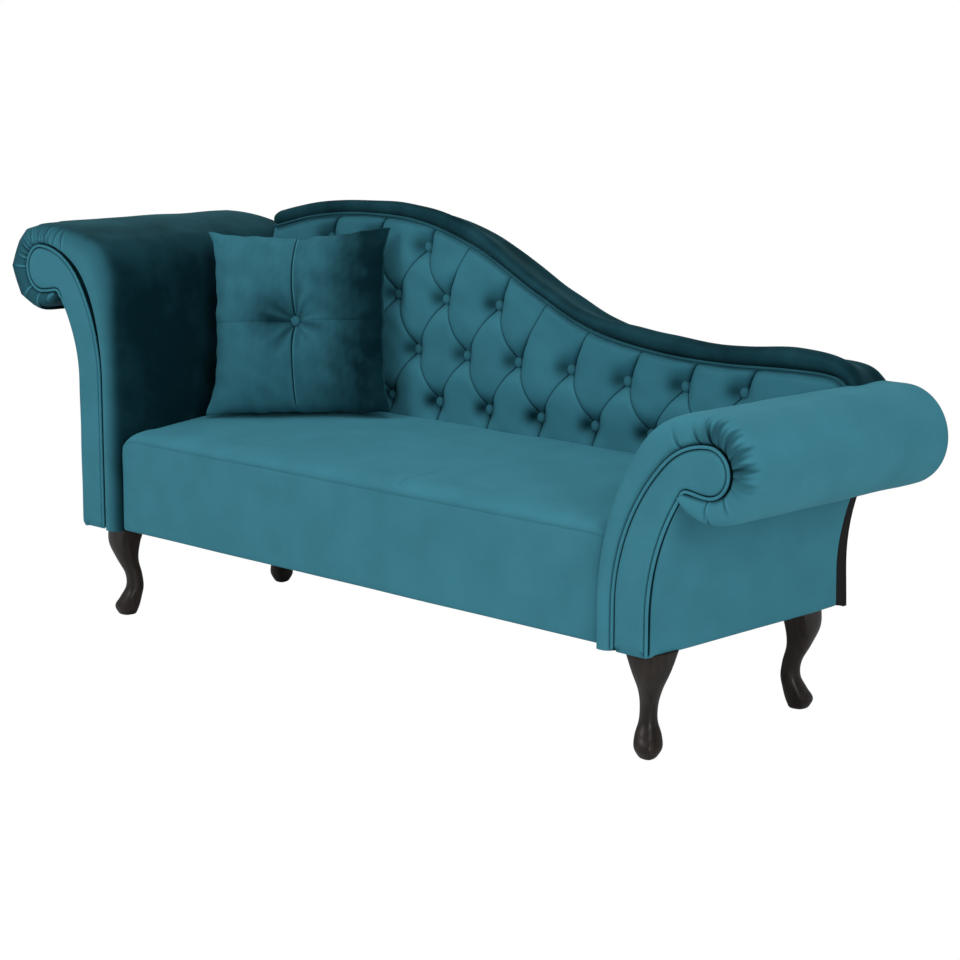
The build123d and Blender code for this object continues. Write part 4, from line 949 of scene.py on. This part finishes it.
REAR_LOW, REAR_Y, REAR_TOP_Y = 0.184, 0.2935, 0.2770
STRIP_T = 0.0012
rear_wings = []
for arm_data in ARMS.values():
    strip_z = np.linspace(BASE_Z + 0.001, arm_data["roll_z"] - ROLL_R + 0.01, 14)
    strip_x = arm_data["side"] * (outer_x(arm_data, 0.0, strip_z) - STRIP_T) + CENTRE_X
    strip_y = REAR_TOP_Y + (REAR_Y - REAR_TOP_Y) * (1 - (strip_z - strip_z[0]) / (strip_z[-1] - strip_z[0]))
    outer = np.stack([strip_x, strip_y, np.where(strip_z == strip_z[0], REAR_LOW, strip_z)], 1)
    inner = np.stack([strip_x, 0 * strip_x + ARM_REAR - 0.004, strip_z], 1)
    thick = np.array([-STRIP_T * arm_data["side"], 0, 0])
    rear_wings.append(np.stack([inner, outer, outer + thick, inner + thick], 1))
slack_sheet("back_lining_cloth", "back_lining", rear_slack, rear_wings)
slack_sheet("bottom_lining_cloth", "bottom_lining", under_slack)

# Loose cushion, built in its own plane and then stood on the seat where the CAD has it.
CUSHION_W, CUSHION_H, CUSHION_T = 0.400, 0.388, 0.128
CUSHION_EDGE, CUSHION_SEAM = 0.004, 0.0024      # half its thickness beside the rim and at the rim's seam
CUSHION_LIFT = 0.005                            # above the CAD's place
TUFT_FRONT, TUFT_REAR = 0.040, 0.030            # how far the buttons pull its two sides in
TURN, LEAN, TIP = math.radians(30.0), math.radians(-10.0), math.radians(-3.0)
even = np.linspace(-1, 1, 161)
even = np.sign(even) * (1 - (1 - abs(even)) ** 1.15)
fine = np.linspace(0.003, 0.036, 12)
u_line = np.concatenate([even[abs(even) > 0.042], fine, -fine, [0]])
u_line.sort()
NU, NV = len(u_line), len(even)
u, v = np.meshgrid(u_line, even, indexing="ij")
draw_u = 0.085 * (1 - abs(v) ** 4.5)
draw_v = np.where(v > 0, 0.085 * (1 - abs(u) ** 1.9), 0.020 * (1 - abs(u) ** 4))
px = u * CUSHION_W / 2 * (1 - draw_u) - 0.009 * smooth((-u - 0.4) / 0.6) * smooth((-v - 0.45) / 0.5)
pz = v * CUSHION_H / 2 * (1 - draw_v * smooth((abs(v) - 0.2) / 0.8))
px = px + np.sign(u) * abs(u) ** 8 * (0.0010 * np.sin(v * 13 + 1) + 0.0008 * np.sin(v * 29 + 2 * u))
pz = pz + np.sign(v) * abs(v) ** 8 * (0.0010 * np.sin(u * 11) + 0.0008 * np.sin(u * 27 + 1 + v))
pinch = np.exp(-((px - 0.012) / 0.020) ** 2) * smooth((v - 0.5) / 0.5)
pz = pz - 0.006 * pinch
crown = ((1 - abs(u) ** 2.3) * (1 - abs(v) ** 2.3)) ** 0.60
r = np.hypot(px, pz)
theta = np.arctan2(pz, px)
tuft = np.exp(-(r / 0.036) ** 1.2)
folds = (np.sin(theta * 7 + 0.8) + 0.7 * np.sin(theta * 11 + 2.1)) * np.exp(-((r - 0.036) / 0.040) ** 2)
along_z = smooth((0.186 - abs(pz)) / 0.02)
welt = np.exp(-((px - 0.0018) / 0.0016) ** 2) * along_z
groove = np.exp(-((px + 0.0014) / 0.0013) ** 2) * along_z
cross = np.exp(-(pz / 0.0016) ** 2) * smooth((0.19 - abs(px)) / 0.03)
level = np.stack([px.ravel(), 0 * px.ravel(), pz.ravel()], 1)
wrinkle = (0.0024 * ripple(level, 0.11, 51) + 0.0008 * ripple(level, 0.045, 52)).reshape(NU, NV)
rim_near = np.exp(-((1 - np.maximum(abs(u), abs(v))) / 0.10) ** 2)
pull = rim_near * (np.sin(u * 17 + 1) + np.sin(v * 19)) * 0.0013
half_t = CUSHION_EDGE + (CUSHION_T / 2 - CUSHION_EDGE) * crown
front = half_t - TUFT_FRONT * tuft * crown + 0.0030 * folds * crown
front = front - 0.0034 * groove + 0.0012 * welt - 0.0013 * cross
front = front - 0.0060 * np.exp(-(px / 0.014) ** 2) * crown - 0.0024 * np.exp(-(pz / 0.012) ** 2) * crown
front = np.maximum(front + wrinkle * crown + pull, CUSHION_SEAM)
rear = np.maximum(half_t - TUFT_REAR * tuft * crown + wrinkle[::-1] * crown, CUSHION_SEAM)
rim_index = ([i * NV for i in range(NU)] + [(NU - 1) * NV + j for j in range(1, NV)]
             + [i * NV + NV - 1 for i in range(NU - 2, -1, -1)] + list(range(NV - 2, 0, -1)))
front.ravel()[rim_index] = CUSHION_SEAM
rear.ravel()[rim_index] = CUSHION_SEAM
local = np.vstack([np.stack([px, -front, pz], -1).reshape(-1, 3),
                   np.stack([px, rear, pz], -1).reshape(-1, 3)])
faces = grid_faces(NU, NV)
faces += [tuple(NU * NV + k for k in reversed(f)) for f in grid_faces(NU, NV)]
for a, b in zip(rim_index, rim_index[1:] + rim_index[:1]):
    faces.append((b, a, NU * NV + a, NU * NV + b))
stand = (Matrix.Rotation(TURN, 3, "Z") @ Matrix.Rotation(LEAN, 3, "X") @ Matrix.Rotation(TIP, 3, "Y"))
cad_cushion = nodes["cushion_cover"]
placed = np.array([tuple(stand.inverted() @ (cad_cushion.matrix_world @ corner.co))
                   for corner in cad_cushion.data.vertices])
centre = (placed.min(0) + placed.max(0)) / 2
to_world = np.array(stand)
frame_shift = np.array([CENTRE_X, 0, 0])


def stood(points):
    """Points of the cushion's own plane, stood on the seat."""
    return (np.asarray(points) + centre) @ to_world.T - frame_shift + np.array([0, 0, CUSHION_LIFT])


# Painted shadow beside the button on the left half, painted shade darkening the right half towards its edge
# with a painted highlight by the seam, painted shade in the groove and cross seam, painted highlights on the
# welt and raised folds, and random unevenness.
left_shading = 0.64 - 0.46 * np.exp(-((px + 0.045) / 0.055) ** 2 - ((pz - 0.012) / 0.062) ** 2)
right_shading = 0.47 - 0.48 * smooth((px - 0.03) / 0.15) + 0.06 * np.exp(-((px - 0.02) / 0.03) ** 2)
tone = np.where(px < 0, left_shading, right_shading)
tone = tone - 0.65 * groove + 0.40 * welt - 0.10 * cross + 0.06 * folds
tone = tone + 0.05 * ripple(level, 0.06, 53).reshape(NU, NV) + 0.04 * ripple(level, 0.022, 54).reshape(NU, NV)
tone = np.concatenate([np.clip(tone, 0.04, 1).ravel(), np.full(NU * NV, 0.35)])
tone[rim_index] = 0.30
piece("cushion_soft", stood(local), faces, VELVET, ("cushion_cover", "cushion_filling"), body="cushion",
      pile_and_shade=tone)
shape, shape_faces = domed_button(0.0115, 0.0075)
verts = np.vstack([shape + np.array([0, -(CUSHION_T / 2 - TUFT_FRONT), 0]),
                   shape * np.array([1, -1, 1]) + np.array([0, CUSHION_T / 2 - TUFT_REAR, 0])])
faces = shape_faces + [tuple(len(shape) + k for k in reversed(f)) for f in shape_faces]
piece("cushion_covered_buttons", stood(verts), faces, VELVET, ("cushion_buttons",), body="cushion", pile_and_shade=0.55)

# Floor, light and camera
FLOOR_HALF = 30.0


def white_to_camera(tree, lit, white, surface):
    """Show the camera the white shader, and every other ray the lit one."""
    seen = tree.nodes.new("ShaderNodeLightPath")
    blend = tree.nodes.new("ShaderNodeMixShader")
    tree.links.new(seen.outputs["Is Camera Ray"], blend.inputs["Fac"])
    tree.links.new(lit, blend.inputs[1])
    tree.links.new(white, blend.inputs[2])
    tree.links.new(blend.outputs["Shader"], surface)


floor_mesh = bpy.data.meshes.new("floor")
ground = bmesh.new()
bmesh.ops.create_grid(ground, x_segments=1, y_segments=1, size=FLOOR_HALF)
ground.to_mesh(floor_mesh)
ground.free()
floor = bpy.data.objects.new("floor", floor_mesh)
bpy.context.scene.collection.objects.link(floor)
mat, tree, bsdf = new_material("floor")
bsdf.inputs["Base Color"].default_value = (0.90, 0.90, 0.90, 1)
bsdf.inputs["Roughness"].default_value = 1.0
bsdf.inputs["Specular IOR Level"].default_value = 0.0
white = tree.nodes.new("ShaderNodeEmission")
white_to_camera(tree, bsdf.outputs["BSDF"], white.outputs["Emission"],
                tree.nodes["Material Output"].inputs["Surface"])
floor_mesh.materials.append(mat)


def area_light(name, place, size, power):
    data = bpy.data.lights.new(name, "AREA")
    data.shape = "DISK"
    data.size = size
    data.energy = power
    lamp = bpy.data.objects.new(name, data)
    lamp.location = place
    lamp.rotation_euler = (Vector((0, 0, 0.4)) - Vector(place)).to_track_quat("-Z", "Y").to_euler()
    bpy.context.scene.collection.objects.link(lamp)


area_light("key", (-2.4, -4.4, 3.6), 2.4, 125)
area_light("side", (4.8, -2.2, 2.2), 2.4, 140)
area_light("top", (0.5, -0.5, 4.5), 3.0, 75)
world_data = bpy.data.worlds.new("studio")
world_data.use_nodes = True
sky = world_data.node_tree
soft_sky = sky.nodes["Background"]
soft_sky.inputs["Color"].default_value = (1, 1, 1, 1)
soft_sky.inputs["Strength"].default_value = 0.42
white_sky = sky.nodes.new("ShaderNodeBackground")
white_sky.inputs["Color"].default_value = (1, 1, 1, 1)
white_sky.inputs["Strength"].default_value = 1.0
white_to_camera(sky, soft_sky.outputs["Background"], white_sky.outputs["Background"],
                sky.nodes["World Output"].inputs["Surface"])
bpy.context.scene.world = world_data
bpy.context.scene.view_settings.view_transform = "Standard"

CAMERA_AT = (3.3139 + CENTRE_X, -3.2700, 1.2385)
AZIMUTH, ELEVATION, ROLL = math.radians(44.3303), math.radians(10.7375), math.radians(0.1638)
cam_data = bpy.data.cameras.new("camera")
cam_data.sensor_width = 36.0
cam_data.lens = 89.393
cam_data.clip_end = 100.0
camera = bpy.data.objects.new("camera", cam_data)
backward = Vector((math.sin(AZIMUTH) * math.cos(ELEVATION), -math.cos(AZIMUTH) * math.cos(ELEVATION),
                   math.sin(ELEVATION)))
level_right = Vector((math.cos(AZIMUTH), math.sin(AZIMUTH), 0))
upward = backward.cross(level_right)
right = level_right * math.cos(ROLL) + upward * math.sin(ROLL)
upward = upward * math.cos(ROLL) - level_right * math.sin(ROLL)
camera.matrix_world = Matrix((right, upward, backward)).transposed().to_4x4()
camera.location = CAMERA_AT
bpy.context.scene.collection.objects.link(camera)
bpy.context.scene.camera = camera
